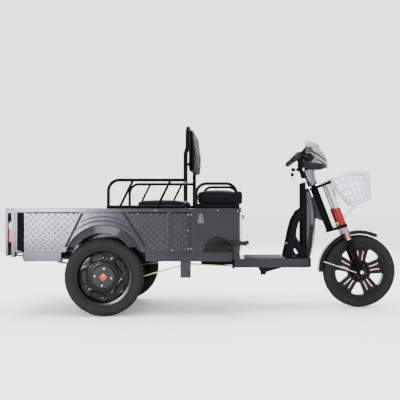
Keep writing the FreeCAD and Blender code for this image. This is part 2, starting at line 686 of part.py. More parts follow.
def fenders():
    """Raised plate on the side panel with a conical lip that stands out over the tyre."""
    flares = []
    lip_low = S.bed_half_width
    lip_high = S.bed_half_width + S.flare_reach
    wall = S.sheet_wall
    for side, sign in SIDES:
        near, far = sorted((lip_low * sign, (lip_low + S.flare_plate) * sign), key=float)
        plate = prism("flare_plate_" + side, "y", (
            (REAR - S.flare_low_rear, S.flare_low), (REAR + S.flare_low_front, S.flare_low),
            (REAR + S.flare_top_front, S.flare_top), (REAR - S.flare_top_rear, S.flare_top)), near, far)
        arch = rod("flare_arch_" + side, "y", S.arch_radius, S.bed_half_width * 4, REAR, S.bed_half_width * -2, ARCH_Z)
        lip = turned("flare_lip_" + side, (
            (lip_low * sign, S.arch_radius + wall), (lip_high * sign, S.flare_mouth),
            ((lip_high - wall) * sign, S.flare_mouth - wall), (lip_low * sign, S.arch_radius)))
        place(lip, REAR, 0, ARCH_Z)
        upper = box("flare_upper_" + side, REAR - S.well_half_length, REAR + S.well_half_length,
                    S.bed_half_width * -2, S.bed_half_width * 2, S.flare_low, S.rim_height)
        flares.append(fuse("flare_" + side, cut("flare_skin_" + side, plate, arch), common("flare_ring_" + side, lip, upper)))
    return subpart(group("Fenders", *flares), "fenders")


def tail_lights():
    lamps = []
    rear = TAIL + S.post_tail_gap - S.lamp_depth
    for side, sign in SIDES:
        near, far = sorted(((RIM_OUTER - S.post_depth) * sign, (RIM_OUTER - S.post_depth + S.lamp_width) * sign), key=float)
        lamps.append(box("lamp_" + side, rear, TAIL + S.post_tail_gap, near, far, S.lamp_low, S.lamp_high))
    return subpart(group("TailLights", *lamps), "tail_lights")


def tailgate():
    """Folded pan that hangs on two hinges at its lower edge."""
    skin = TAIL + S.gate_inset
    low = S.gate_axis_height + S.hinge_radius + 1
    high = RIM_LOW - S.gate_top_gap
    half, edge = S.bed_half_width - S.gate_side_gap, S.gate_edge
    pan = box("gate_pan", skin, skin + S.gate_thickness, -half, half, low, high)
    hollow = box("gate_hollow", skin + S.sheet_wall, skin + S.gate_thickness * 2, -half + edge, half - edge,
                 low + edge, high - edge)
    beads = [box(f"gate_bead_{number}", TAIL, skin, -half + edge * 2, half - edge * 2, z - edge / 2, z + edge / 2)
             for number, z in enumerate((low + (high - low) * 0.3, low + (high - low) * 0.7))]
    pieces, bores = [cut("gate_folded", pan, hollow), *beads], []
    axis_x = TAIL + S.gate_axis_inset
    for side, sign in SIDES:
        knuckle, bore = hinge_knuckle("gate_knuckle_" + side, axis_x, S.gate_axis_height, S.rail_offset * sign)
        tab_half = S.hinge_length / 4 - S.seat_gap
        tab = box("gate_tab_" + side, axis_x - S.hinge_pin_radius + 1, axis_x + S.hinge_radius,
                  S.rail_offset * sign - tab_half, S.rail_offset * sign + tab_half, S.gate_axis_height, low)
        pieces += [knuckle, tab]
        bores.append(bore)
    return subpart(cut("Tailgate", fuse("gate_solid", *pieces), *bores), "tailgate")


# Seat box with the batteries, and everything bolted to it

def seat_box():
    half, wall = S.bed_half_width, S.sheet_wall
    shell = box("box_outer", BOX_REAR, BOX_FRONT, -half, half, S.floor_height, S.rim_height)
    room = box("box_room", BOX_REAR + wall, BOX_FRONT - wall, -PANEL_INNER, PANEL_INNER, FLOOR_TOP, S.rim_height * 2)
    rims = [box("box_rim_" + side, BOX_REAR, BOX_FRONT, *sorted((RIM_INNER * sign, RIM_OUTER * sign), key=float),
                RIM_LOW, S.rim_height) for side, sign in SIDES]
    deck = box("box_deck", BOX_REAR, BOX_REAR + S.seat_flange_rear, -RIM_INNER, RIM_INNER, S.rim_height - wall, S.rim_height)
    lip = box("box_lip", BOX_FRONT - S.seat_flange_front, BOX_FRONT, -RIM_INNER, RIM_INNER, S.rim_height - wall, S.rim_height)
    cover = box("box_cover", BOX_FRONT, BOX_FRONT + S.cover_depth, -RIM_INNER, RIM_INNER,
                S.floor_height + S.cover_depth, S.rim_height - S.cover_top_gap)
    return subpart(fuse("SeatBox", cut("box_shell", shell, room), *rims, deck, lip, cover), "seat_box")


BATTERY = (180, 76)
BATTERY_HEADROOM = 83
BATTERY_COUNT = 5
BATTERY_PITCH = 78


def battery_pack():
    length, width = BATTERY
    rear, top = BOX_REAR + S.seat_flange_rear, S.rim_height - BATTERY_HEADROOM
    blocks = []
    for number in range(BATTERY_COUNT):
        right = -PANEL_INNER + S.sheet_wall * 5 + BATTERY_PITCH * number
        blocks.append(box(f"battery_{number}", rear, rear + length, right, right + width, FLOOR_TOP, top))
    return subpart(group("BatteryPack", *blocks), "battery_pack")


CONTROLLER = (170, 90, 30)
CONTROLLER_FIN = 12


def motor_controller():
    length, width, height = CONTROLLER
    rear, right = BOX_REAR + S.seat_flange_rear, S.spine_half_width * 4
    case = box("controller_case", rear, rear + length, right, right + width, FLOOR_TOP, FLOOR_TOP + height)
    fins = [box(f"controller_fin_{number}", rear, rear + length, right + CONTROLLER_FIN * number,
                right + CONTROLLER_FIN * number + CONTROLLER_FIN / 2, FLOOR_TOP + height, FLOOR_TOP + height + CONTROLLER_FIN)
            for number in range(int(width // CONTROLLER_FIN))]
    return subpart(fuse("MotorController", case, *fins), "motor_controller")


def cargo_rails():
    rails = []
    top = S.rim_height + S.cargo_rail_top - S.cargo_tube_radius
    foot = S.rim_height + S.cargo_tube_radius
    rear, front = REAR + S.cargo_rail_rear, BACK_X - S.back_tube_radius
    for side, sign in SIDES:
        y = TUBE_Y * sign
        loop = tube("rail_loop_" + side, ((rear, y, foot), (rear, y, top), (front, y, top)),
                    S.cargo_tube_radius, S.cargo_rail_bend)
        base = rod("rail_base_" + side, "x", S.cargo_tube_radius, front - rear + S.cargo_tube_radius,
                   rear - S.cargo_tube_radius, y, foot)
        slants = []
        for number in range(2):
            x = REAR + S.cargo_bar_first + S.cargo_bar_step * number
            slants.append(bar(f"rail_slant_{number}_{side}", (x, y, foot), (x + S.cargo_bar_lean, y, top), S.cargo_bar_radius))
        rails.append(fuse("rail_" + side + "_weldment", loop, base, *slants))
    return subpart(group("CargoRails", *rails), "cargo_rails")


def armrests():
    loops = []
    top = S.rim_height + S.armrest_top - S.armrest_radius
    rear, front = BOX_REAR + S.armrest_rear, BOX_FRONT - S.armrest_front
    for side, sign in SIDES:
        y = TUBE_Y * sign
        hoop = tube("armrest_hoop_" + side, ((rear, y, S.rim_height), (rear, y, top), (front, y, top),
                                             (front, y, S.rim_height)), S.armrest_radius, S.armrest_bend)
        base = rod("armrest_base_" + side, "x", S.armrest_bar_radius, front - rear, rear, y,
                   S.rim_height + S.armrest_radius)
        loops.append(fuse("armrest_" + side, hoop, base))
    return subpart(group("Armrests", *loops), "armrests")


def backrest_frame():
    upper = BACK_X + S.back_lean
    base = S.rim_height
    top = base + S.back_top - S.back_tube_radius
    kink_low, kink_high = base + S.back_kink_low, base + S.back_kink_high
    right, left = -TUBE_Y, TUBE_Y
    hoop = tube("back_hoop", (
        (BACK_X, right, base), (BACK_X, right, kink_low), (upper, right, kink_high), (upper, right, top),
        (upper, left, top), (upper, left, kink_high), (BACK_X, left, kink_low), (BACK_X, left, base)),
        S.back_tube_radius, S.back_bend)
    bar_x = upper + S.back_tube_radius - S.back_bar_radius
    bars = [rod(f"back_bar_{number}", "y", S.back_bar_radius, TUBE_Y * 2, bar_x, -TUBE_Y, z)
            for number, z in enumerate((base + S.back_low_bar, base + S.back_high_bar))]
    return subpart(fuse("BackrestFrame", hoop, *bars), "backrest_frame")


def backrest_cushion():
    """Cushion laid against the upper frame, its crown to the front."""
    half_height = (S.back_cushion_high - S.back_cushion_low) / 2
    half_width = TUBE_Y - S.back_tube_radius - S.back_cushion_gap
    shape = cushion(half_width, half_height, S.back_cushion_depth, S.back_cushion_depth / 3, 40, 5)
    piece = shaped("BackrestCushion", shape)
    middle = S.rim_height + (S.back_cushion_low + S.back_cushion_high) / 2
    piece.Placement = Placement(
        vec(BACK_X + S.back_lean + S.back_tube_radius + S.seat_gap, 0, middle), Rotation(Vector(0, 1, 0), Vector(0, 0, 1), Vector(1, 0, 0), "ZXY"))
    return subpart(piece, "backrest_cushion")


SEAT_LOW = S.rim_height + S.seat_gap
SEAT_AXIS_X = BOX_FRONT + S.hinge_radius


def seat_base():
    rear = BOX_REAR + S.seat_rear_gap
    plate = box("seat_plate", rear, BOX_FRONT - S.sheet_wall, -SEAT_HALF - 8, SEAT_HALF + 8,
                SEAT_LOW, SEAT_LOW + S.seat_base_height)
    frame = S.seat_base_height
    hollow = box("seat_hollow", rear + frame, BOX_FRONT - S.sheet_wall - frame, -SEAT_HALF + frame,
                 SEAT_HALF - frame, SEAT_LOW - frame, SEAT_LOW + frame - S.sheet_wall * 4)
    pieces, bores = [cut("seat_pan", plate, hollow)], []
    for side, sign in SIDES:
        y = SEAT_HALF * sign / 2
        knuckle, bore = hinge_knuckle("seat_knuckle_" + side, SEAT_AXIS_X, S.rim_height, y)
        half = S.hinge_length / 4 - S.seat_gap
        tab = box("seat_tab_" + side, BOX_FRONT - S.hinge_length / 4, SEAT_AXIS_X, y - half, y + half,
                  S.rim_height + S.hinge_pin_radius - 1, S.rim_height + S.hinge_radius + 2)
        pieces += [knuckle, tab]
        bores.append(bore)
    return subpart(cut("SeatBase", fuse("seat_base_solid", *pieces), *bores), "seat_base")


def seat_cushion():
    rear, front = BOX_REAR + S.seat_rear_gap, BOX_FRONT + S.seat_nose
    shape = cushion((front - rear) / 2, SEAT_HALF, S.seat_cushion_height, S.seat_crown, 42, 4)
    piece = shaped("SeatCushion", shape)
    place(piece, (front + rear) / 2, 0, SEAT_LOW + S.seat_base_height + S.seat_gap)
    return subpart(piece, "seat_cushion")


def passenger_cushion():
    rear, front = REAR + S.pad_rear, BOX_REAR - S.pad_front_gap
    shape = cushion((front - rear) / 2, RIM_INNER - S.pad_side_gap, S.pad_height, S.pad_crown, 30, 4)
    piece = shaped("PassengerCushion", shape)
    place(piece, (front + rear) / 2, 0, S.rim_height + S.seat_gap)
    return subpart(piece, "passenger_cushion")


# Footboard, leg shield, knee guard and pedal

PEDAL_AXIS = (96, 14)
PEDAL_Y = (-106, -84)


def footboard():
    rear, half, corner = BOX_FRONT - S.foot_overlap, S.foot_half_width, S.foot_corner
    turn = corner * (1 - math.sqrt(0.5))

    def tray(name, inset, x_rear, low, high):
        side, nose = half - inset, FOOT_FRONT - inset
        bend, arc = corner - inset, turn - inset * (1 - math.sqrt(0.5))
        return prism(name, "z", (
            (x_rear, side), (x_rear, -side), (nose - bend, -side), (nose, -side + bend, nose - arc, -side + arc),
            (nose, side - bend), (nose - bend, side, nose - arc, side - arc)), low, high)

    outer = tray("foot_outer", 0, rear, FOOT_LOW, FOOT_TOP)
    inner = tray("foot_inner", S.sheet_wall, rear - S.foot_overlap, FOOT_LOW - S.sheet_wall, SPINE_TOP)
    foot = FOOT_FRONT - S.column_setback
    passage = rod("column_hole", "z", S.column_radius + 1.5, S.foot_height * 2, foot + 1, 0, FOOT_LOW)
    axis_x, axis_z = FOOT_FRONT - PEDAL_AXIS[0], FOOT_TOP + PEDAL_AXIS[1]
    right, left = PEDAL_Y
    ears = [box(f"pedal_ear_{number}", axis_x - 9, axis_x + 9, y, y + 6, SPINE_TOP, axis_z + 9)
            for number, y in enumerate((right - 6.3, left + 0.3))]
    pin = rod("pedal_pin", "y", S.hinge_pin_radius, left - right + 12, axis_x, right - 6, axis_z)
    return subpart(fuse("Footboard", cut("foot_tray", outer, inner, passage), *ears, pin), "footboard")


def brake_pedal():
    axis_x, axis_z = FOOT_FRONT - PEDAL_AXIS[0], FOOT_TOP + PEDAL_AXIS[1]
    right, left = PEDAL_Y
    middle = (right + left) / 2
    hub = rod("pedal_hub", "y", 9, left - right, axis_x, right, axis_z)
    arm = bar("pedal_arm", (axis_x, middle, axis_z), (axis_x - 42, middle, axis_z + 74), 6)
    pad = box("pedal_pad", -30, 30, right - 10, left + 10, 0, 11)
    place(pad, axis_x - 68, right - 10, axis_z + 66, (0, 1, 0), -16)
    bore = rod("pedal_bore", "y", S.hinge_pin_radius + S.running_fit, 60, axis_x, middle - 30, axis_z)
    return subpart(cut("BrakePedal", fuse("pedal_solid", hub, arm, pad), bore), "brake_pedal")


def floor_mat():
    rear = BOX_FRONT + S.cover_depth + S.mat_margin
    half = S.foot_half_width - S.mat_margin
    front = FOOT_FRONT - GUARD_OUTLINE[0][0] - S.mat_front_gap
    return subpart(box("FloorMat", rear, front, -half, half, FOOT_TOP, FOOT_TOP + S.mat_thickness), "floor_mat")


def shield_section(back, nose, half, level, wall):
    """Crescent section of the leg shield: an outer and an inner arc joined at their tips."""
    b, n, h, z, w = float(back), float(nose), float(half), float(level), float(wall)
    return Part.Wire([
        Part.Arc(Vector(b, -h, z), Vector(n, 0, z), Vector(b, h, z)).toShape(),
        Part.LineSegment(Vector(b, h, z), Vector(b, h - w, z)).toShape(),
        Part.Arc(Vector(b, h - w, z), Vector(n - w, 0, z), Vector(b, -h + w, z)).toShape(),
        Part.LineSegment(Vector(b, -h + w, z), Vector(b, -h, z)).toShape(),
    ])


# Leg shield stations: height above the footboard, back edge and nose before its front, half width
SHIELD_STATIONS = ((0, -34, 6, 150), (140, -33, 34, 148), (320, -32, 30, 138), (435, -32, -8, 100))


def leg_shield():
    wires = [shield_section(FOOT_FRONT + back, FOOT_FRONT + nose, half, FOOT_TOP + level, S.sheet_wall)
             for level, back, nose, half in SHIELD_STATIONS]
    skin = shaped("shield_skin", Part.makeLoft(wires, True, False))
    slot = box("shield_slot", FOOT_FRONT - 40, FOOT_FRONT + 120, -26, 26, FOOT_TOP + 210, FOOT_TOP + 600)
    return subpart(cut("LegShield", skin, slot), "leg_shield")


# Knee guard outline and its two windows, as distance behind the footboard's front and height above it
GUARD_OUTLINE = ((170, 0), (146, 112), (134, 172), (116, 236), (84, 292), (40, 322), (38, 0))
GUARD_WINDOW = ((42, 256), (78, 232), (94, 176), (97, 138), (42, 40))
GUARD_LOW_WINDOW = ((106, 76), (118, 12), (62, 12))
GUARD_BAR = (38, 54, 470)
GUARD_PLATES = (118, 138)


def knee_guard():
    def profile(name, points, low, high):
        corners = [(FOOT_FRONT - back, FOOT_TOP + height) for back, height in points]
        return prism(name, "y", corners, low, high)

    inner, outer = GUARD_PLATES
    plates = []
    for side, sign in SIDES:
        near, far = sorted((inner * sign, outer * sign))
        plate = profile("guard_plate_" + side, GUARD_OUTLINE, near, far)
        windows = [profile(f"guard_window_{number}_{side}", points, near - 5, far + 5)
                   for number, points in enumerate((GUARD_WINDOW, GUARD_LOW_WINDOW))]
        plates.append(cut("guard_arm_" + side, plate, *windows))
    front, rear, top = GUARD_BAR
    panel = box("guard_panel", FOOT_FRONT - rear, FOOT_FRONT - front, -outer, outer, FOOT_TOP, FOOT_TOP + top)
    shell = 4
    hollow = box("guard_hollow", FOOT_FRONT - rear + shell, FOOT_FRONT, -outer + shell, outer - shell,
                 FOOT_TOP - shell, FOOT_TOP + top - shell)
    return subpart(fuse("KneeGuard", *plates, cut("guard_cover", panel, hollow)), "knee_guard")


# Parking brake at the right side of the seat box

BRAKE_AXIS = (177, 31.5)
BRAKE_Y = (-S.bed_half_width - 22, -S.bed_half_width - 9)
BOOT_OUTLINE = ((80, 18), (84, 46), (117, 81), (152, 93), (187, 88), (222, 66), (249, 31), (249, 18))
BOOT_RIBS = 6
LEVER_TIP = (342, 60)


def brake_pivot():
    return BOX_REAR + BRAKE_AXIS[0], S.floor_height + BRAKE_AXIS[1]


def lever_solid(name, swell):
    """Lever bar from its pivot to the tip with a round grip, grown all round by swell."""
    axis_x, axis_z = brake_pivot()
    right, left = BRAKE_Y
    middle = (right + left) / 2
    tip = (BOX_REAR + LEVER_TIP[0], middle, S.floor_height + LEVER_TIP[1])
    start = (axis_x, middle, axis_z)
    half_way = tuple(a + (b - a) * 0.48 for a, b in zip(start, tip))
    hub = rod(name + "_hub", "y", 13 + swell, left - right + swell * 2, axis_x, right - swell, axis_z)
    shank = bar(name + "_shank", start, half_way, 6 + swell)
    grip = bar(name + "_grip", half_way, tip, 11 + swell)
    return fuse(name, hub, shank, grip)


def parking_brake_lever():
    axis_x, axis_z = brake_pivot()
    bore = rod("lever_bore", "y", S.hinge_pin_radius * 2 + S.running_fit, 60, axis_x, BRAKE_Y[0] - 20, axis_z)
    return subpart(cut("ParkingBrakeLever", lever_solid("lever_bar", 0), bore), "parking_brake_lever")


def parking_brake_boot():
    corners = [(BOX_REAR + x, S.floor_height + z) for x, z in BOOT_OUTLINE]
    right = BRAKE_Y[0] - 8
    bellows = prism("boot_body", "y", corners, right, -S.bed_half_width - 0.5)
    ribs = []
    root = (BOX_REAR + 240, right, S.floor_height + 27)
    for number in range(BOOT_RIBS):
        x, z = BOOT_OUTLINE[0][0] + 6 + 13 * number, BOOT_OUTLINE[0][1] + 12 + 11 * number
        ribs.append(bar(f"boot_rib_{number}", root, (BOX_REAR + x, right, S.floor_height + z), 4))
    axis_x, axis_z = brake_pivot()
    pin_room = rod("boot_pin_room", "y", S.hinge_pin_radius * 2 + 0.3, 80, axis_x, right - 20, axis_z)
    return subpart(cut("ParkingBrakeBoot", fuse("boot_solid", bellows, *ribs), lever_solid("boot_room", 0.5), pin_room),
                   "parking_brake_boot")


def panel_hardware():
    """Latches, knob, hinge leaves, bolts and the parking brake's base."""
    pieces = []
    axis_x, axis_z = brake_pivot()
    base = box("brake_base", BOX_REAR + 78, BOX_REAR + 254, -S.bed_half_width - 24, -S.bed_half_width,
               S.floor_height + 2, S.floor_height + 17.5)
    pin = rod("brake_pin", "y", S.hinge_pin_radius * 2, 24, axis_x, -S.bed_half_width - 24, axis_z)
    bolts = [rod(f"brake_bolt_{number}", "y", 6, 5, BOX_REAR + x, -S.bed_half_width - 29, S.floor_height + 10)
             for number, x in enumerate((86, 246))]
    pieces.append(fuse("brake_mount", base, *bolts))
    pieces.append(pin)
    for side, sign in SIDES:
        near, far = sorted((S.bed_half_width * sign, (S.bed_half_width + 7) * sign), key=float)
        x = BOX_REAR + 63
        pieces.append(prism("latch_" + side, "y", (
            (x - 20, RIM_LOW - 63), (x + 20, RIM_LOW - 63), (x + 9, RIM_LOW - 8), (x - 9, RIM_LOW - 8)), near, far))
        for number, rise in enumerate((S.back_bolt_low, S.back_bolt_high)):
            head = TUBE_Y + S.back_tube_radius
            low = head * sign if sign > 0 else -head - 6
            pieces.append(rod(f"back_bolt_{number}_{side}", "y", 8, 6, BACK_X, low, S.rim_height + rise))
        y = SEAT_HALF * sign / 2
        pin, near_knuckle, far_knuckle = hinge_leaf("seat_hinge_" + side, SEAT_AXIS_X, S.rim_height, y)
        leaf = box("seat_hinge_leaf_" + side, BOX_FRONT, SEAT_AXIS_X + 2, y - S.hinge_length / 2, y + S.hinge_length / 2,
                   S.rim_height - S.cover_top_gap, S.rim_height - S.hinge_radius - 1)
        legs = [box(f"seat_hinge_leg_{number}_{side}", BOX_FRONT, SEAT_AXIS_X + 2, start, start + S.hinge_length / 4,
                    S.rim_height - S.cover_top_gap, S.rim_height)
                for number, start in enumerate((y - S.hinge_length / 2, y + S.hinge_length / 4))]
        pieces.append(fuse("seat_hinge_" + side, pin, near_knuckle, far_knuckle, leaf, *legs))
        y = S.rail_offset * sign
        gate_x = TAIL + S.gate_axis_inset
        pin, near_knuckle, far_knuckle = hinge_leaf("gate_hinge_" + side, gate_x, S.gate_axis_height, y)
        straps = [box(f"gate_strap_{number}_{side}", gate_x, TAIL + S.rail_tail_gap, start, start + S.hinge_length / 4,
                      S.gate_axis_height - S.hinge_radius, S.gate_axis_height)
                  for number, start in enumerate((y - S.hinge_length / 2, y + S.hinge_length / 4))]
        pieces.append(fuse("gate_hinge_" + side, pin, near_knuckle, far_knuckle, *straps))
    knob_x = BOX_FRONT + S.cover_depth
    pieces.append(rod("lock_knob", "x", 11, 12, knob_x, -RIM_INNER + 26, RIM_LOW - 28))
    return subpart(group("PanelHardware", *pieces), "panel_hardware")


# Brake linkage under the bed and the pedal bracket under the footboard

ROD_Y = -262


def brake_linkage():
    rear, front = BOX_REAR - 67, BOX_REAR - 6
    plate = box("link_plate", rear, front, ROD_Y - 10, -S.rail_offset + S.rail_width / 2, SILL_LOW - 107, SILL_LOW)
    boss = rod("link_boss", "y", 11, 14, rear + 42, ROD_Y - 24, SILL_LOW - 82)
    back_rod = bar("link_back_rod", (rear + 8, ROD_Y, SILL_LOW - 34), (REAR + 95, ROD_Y, SILL_LOW - 128), 4.5)
    fore_rod = bar("link_fore_rod", (front - 8, ROD_Y, SILL_LOW - 24), (BOX_FRONT - 40, ROD_Y, SILL_LOW - 38), 4.5)
    link = fuse("link_weldment", plate, boss, back_rod, fore_rod)
    x = BOX_FRONT
    wedge = prism("pedal_bracket", "y", (
        (x + 105, SPINE_LOW), (x + 130, SPINE_LOW - 46), (x + 130, SPINE_LOW - 62), (x + 165, SPINE_LOW - 62),
        (x + 165, SPINE_LOW - 46), (x + 300, SPINE_LOW - 8), (x + 300, SPINE_LOW)), -S.spine_half_width, S.spine_half_width)
    return subpart(group("BrakeLinkage", link, wedge), "brake_linkage")


# Rear axle, springs and wheels

LEAF_LENGTHS = (1, 0.66, 0.4)
SPRING_SEAT = S.tyre_radius + S.axle_tube_radius + 4


def leaf_springs():
    stacks = []
    thick = S.leaf_thickness
    for side, sign in SIDES:
        leaves = []
        y = S.rail_offset * sign
        for number, share in enumerate(LEAF_LENGTHS):
            half = S.leaf_half * share
            low = SPRING_SEAT + S.seat_gap + thick * (len(LEAF_LENGTHS) - 1 - number)
            tip = low + S.leaf_camber * share * share
            leaves.append(prism(f"leaf_{number}_{side}", "y", (
                (REAR - half, tip), (REAR + half, tip, REAR, low), (REAR + half, tip + thick),
                (REAR - half, tip + thick, REAR, low + thick)), y - S.leaf_width / 2, y + S.leaf_width / 2))
        stacks.append(group("leaf_stack_" + side, *leaves))
    return subpart(group("LeafSprings", *stacks), "leaf_springs")


def axle_housing():
    half = S.axle_tube_half
    pieces = [rod("axle_tube", "y", S.axle_tube_radius, half * 2, REAR, -half, S.tyre_radius)]
    for side, sign in SIDES:
        y = S.rail_offset * sign
        pieces.append(box("spring_seat_" + side, REAR - 36, REAR + 36, y - S.leaf_width / 2, y + S.leaf_width / 2,
                          S.tyre_radius, SPRING_SEAT))
        low = half - 6 if sign > 0 else -half
        pieces.append(rod("brake_plate_" + side, "y", S.drum_radius, 6, REAR, low, S.tyre_radius))
    bore = rod("axle_bore", "y", S.shaft_radius + S.running_fit, half * 4, REAR, half * -2, S.tyre_radius)
    return subpart(cut("AxleHousing", fuse("axle_solid", *pieces), bore), "axle_housing")


def drive_motor():
    case = rod("gear_case", "y", S.motor_radius + 12, 70, REAR, -35, S.tyre_radius)
    can = rod("motor_can", "y", S.motor_radius, S.motor_half * 2, REAR + S.motor_offset, -S.motor_half, S.tyre_radius + 10)
    ends = [rod(f"motor_end_{number}", "y", S.motor_radius - 18, 12, REAR + S.motor_offset, y, S.tyre_radius + 10)
            for number, y in enumerate((-S.motor_half - 12, S.motor_half))]
    room = rod("motor_axle_room", "y", S.axle_tube_radius, 400, REAR, -200, S.tyre_radius)
    return subpart(cut("DriveMotor", fuse("motor_solid", case, can, *ends), room), "drive_motor")


def tyre_outline(half, flange):
    """Tyre section: round crown, bulging side walls, beads between the rim flanges, hollow inside."""
    crown, bead = S.tyre_radius, S.bead_radius + S.seat_gap
    wall, lip = S.tyre_wall, flange + S.seat_gap + 1
    belly = (lip + crown) / 2
    seat = half - 12.3
    shoulder = crown - 8
    return (
        (-half * 0.82, shoulder, -half, belly), (half * 0.82, shoulder, 0, crown),
        (half * 0.86, lip, half, belly), (seat, lip), (seat, bead), (seat - wall * 0.6, bead),
        (half * 0.5, lip + 3), (half * 0.56, shoulder - wall, half - wall, belly),
        (-half * 0.56, shoulder - wall, 0, crown - wall), (-half * 0.5, lip + 3, -half + wall, belly),
        (-seat + wall * 0.6, bead), (-seat, bead), (-seat, lip), (-half * 0.86, lip),
    )


HUB_BORE = 30
DISC_FACE = 20


def rear_wheel(side, sign):
    """Tyre, pressed steel rim and hub of one rear wheel. Axial sizes grow outwards."""
    turn = 0 if sign > 0 else 180

    def seat(obj, label):
        return subpart(place(obj, REAR, S.track_half * sign, S.tyre_radius, turn=turn), label)

    flange, bead, half = S.rear_flange_radius, S.bead_radius, S.rear_tyre_half
    well = half - 12
    seat(turned("RearTyre_" + side, tyre_outline(half, flange)), "rear_tyre_" + side)
    ring = S.drum_radius
    rim = turned("RearRim_" + side, (
        (well + 6, flange), (well + 2, flange), (well, bead), (-well, bead), (-well - 2, flange), (-well - 6, flange),
        (-well - 6, flange - 4), (-well - 3, bead - 4), (5, bead - 4), (8, bead - 14), (8, ring + 13), (14, ring),
        (14, HUB_BORE), (DISC_FACE, HUB_BORE), (DISC_FACE, ring), (15, ring + 11), (15, bead - 14), (12, bead - 4),
        (well + 3, bead - 4), (well + 6, flange - 4)))
    seat(rim, "rear_rim_" + side)
    inner_end = S.axle_tube_half - S.track_half + 2
    shaft_end = S.rail_offset - S.track_half - S.rail_width
    hub = turned("hub_body_" + side, (
        (shaft_end, 0), (shaft_end, S.shaft_radius), (inner_end, S.shaft_radius), (inner_end, S.drum_radius - 1),
        (4, S.drum_radius - 1), (4, S.drum_radius - 5), (14, S.drum_radius - 5), (14, HUB_BORE - 0.2),
        (DISC_FACE, HUB_BORE - 0.2), (DISC_FACE, 0)))
    cap = turned("hub_cap_" + side, ((DISC_FACE, 0), (DISC_FACE, 70), (26, 70), (31, 64), (31, 0)))
    bolts = []
    for number in range(4):
        angle = math.radians(7 + 90 * number)
        bolts.append(rod(f"hub_bolt_{number}_{side}", "y", 6.5, 5, 49 * math.cos(angle), 31, 49 * math.sin(angle)))
    seat(group("RearHub_" + side, hub, cap, *bolts), "rear_hub_" + side)


# Front wheel, fork and fender

SPOKES = 5
WINDOW_ANGLE = 50


def front_rim():
    flange, bead, half = S.front_flange_radius, S.bead_radius, S.front_tyre_half
    well = half - 12
    hub_half, hub_radius, web = 58, 38, 17
    disc = turned("rim_disc", (
        (well + 6, flange), (well + 2, flange), (well, bead), (-well, bead), (-well - 2, flange), (-well - 6, flange),
        (-well - 6, flange - 5), (-well - 3, bead - 5), (-web, bead - 7), (-web, hub_radius + 22),
        (-hub_half, hub_radius), (-hub_half, S.axle_radius + S.running_fit), (hub_half, S.axle_radius + S.running_fit),
        (hub_half, hub_radius), (web, hub_radius + 22), (web, bead - 7), (well + 3, bead - 5), (well + 6, flange - 5)))
    inner, outer = 76, bead - 7
    window = prism("rim_window", "y", (
        (inner, 10), (inner, -10), (outer - 14, -38), (outer, -24, outer - 3, -33), (outer, 24, outer + 3, 0),
        (outer - 14, 38, outer - 3, 33)), -60, 60)
    windows = []
    for number in range(SPOKES):
        copy = doc.addObject("Part::Feature", f"rim_window_{number}")
        windows.append((window, number, copy))
    doc.recompute()
    for source, number, copy in windows:
        copy.Shape = source.Shape
        copy.Placement = Placement(Vector(), Rotation(Vector(0, 1, 0), -WINDOW_ANGLE - 360 / SPOKES * number))
    wheel = cut("FrontRim", disc, *(copy for source, number, copy in windows))
    return subpart(place(wheel, FRONT, 0, S.tyre_radius), "front_rim")


def front_tyre():
    ring = turned("FrontTyre", tyre_outline(S.front_tyre_half, S.front_flange_radius))
    return subpart(place(ring, FRONT, 0, S.tyre_radius), "front_tyre")


def front_axle():
    pin = rod("axle_pin", "y", S.axle_radius, S.axle_half * 2, 0, -S.axle_half, 0)
    nut_length = S.axle_half - S.fork_half - S.slider_radius
    nuts = [rod(f"axle_nut_{number}", "y", S.axle_radius + 5, nut_length, 0, y, 0)
            for number, y in enumerate((-S.axle_half, S.axle_half - nut_length))]
    return subpart(place(fuse("FrontAxle", pin, *nuts), FRONT, 0, S.tyre_radius), "front_axle")


def fork_sliders():
    """Lower legs with the axle eyes, and the lugs that carry the fender."""
    pieces, bores = [], []
    foot = -S.slider_radius - 4
    for side, sign in SIDES:
        y = S.fork_half * sign
        pieces.append(rod("slider_" + side, "z", S.slider_radius, S.slider_top - foot, 0, y, foot))
        near, far = sorted(((S.fender_half + S.seat_gap) * sign, (S.fender_half + 12) * sign), key=float)
        pieces.append(box("fender_lug_" + side, -14, 14, near, far, S.slider_top - 30, S.slider_top + 34))
        near, far = sorted(((S.fender_half + 12) * sign, (S.fork_half - S.slider_radius / 2) * sign), key=float)
        pieces.append(box("fender_arm_" + side, -10, 10, near, far, S.slider_top - 30, S.slider_top - 4))
        depth = S.stanchion_foot - S.fork_travel - 8
        bores.append(rod("slider_bore_" + side, "z", S.stanchion_radius + S.running_fit, S.slider_top * 2, 0, y, depth))
    axle = rod("axle_eye", "y", S.axle_radius, S.axle_half * 4, 0, S.axle_half * -2, 0)
    legs = [cut("leg_" + side, fuse("leg_solid_" + side, *pieces[index * 3:index * 3 + 3]), bores[index], axle)
            for index, (side, sign) in enumerate(SIDES)]
    return subpart(on_fork(group("ForkSliders", *legs)), "fork_sliders")


def fork_springs():
    low, high = S.slider_top + S.seat_gap, S.lower_crown - S.seat_gap
    spring = coil(S.coil_radius, S.coil_wire, S.coil_turns, low, high)
    coils = []
    for side, sign in SIDES:
        copy = spring.copy()
        copy.translate(vec(0, S.fork_half * sign, 0))
        coils.append(copy)
    return subpart(on_fork(shaped("ForkSprings", Part.makeCompound(coils))), "fork_springs")


def fork_stanchions():
    legs = [rod("stanchion_" + side, "z", S.stanchion_radius, S.upper_crown + S.crown_height + 4 - S.stanchion_foot,
                0, S.fork_half * sign, S.stanchion_foot) for side, sign in SIDES]
    return subpart(on_fork(group("ForkStanchions", *legs)), "fork_stanchions")


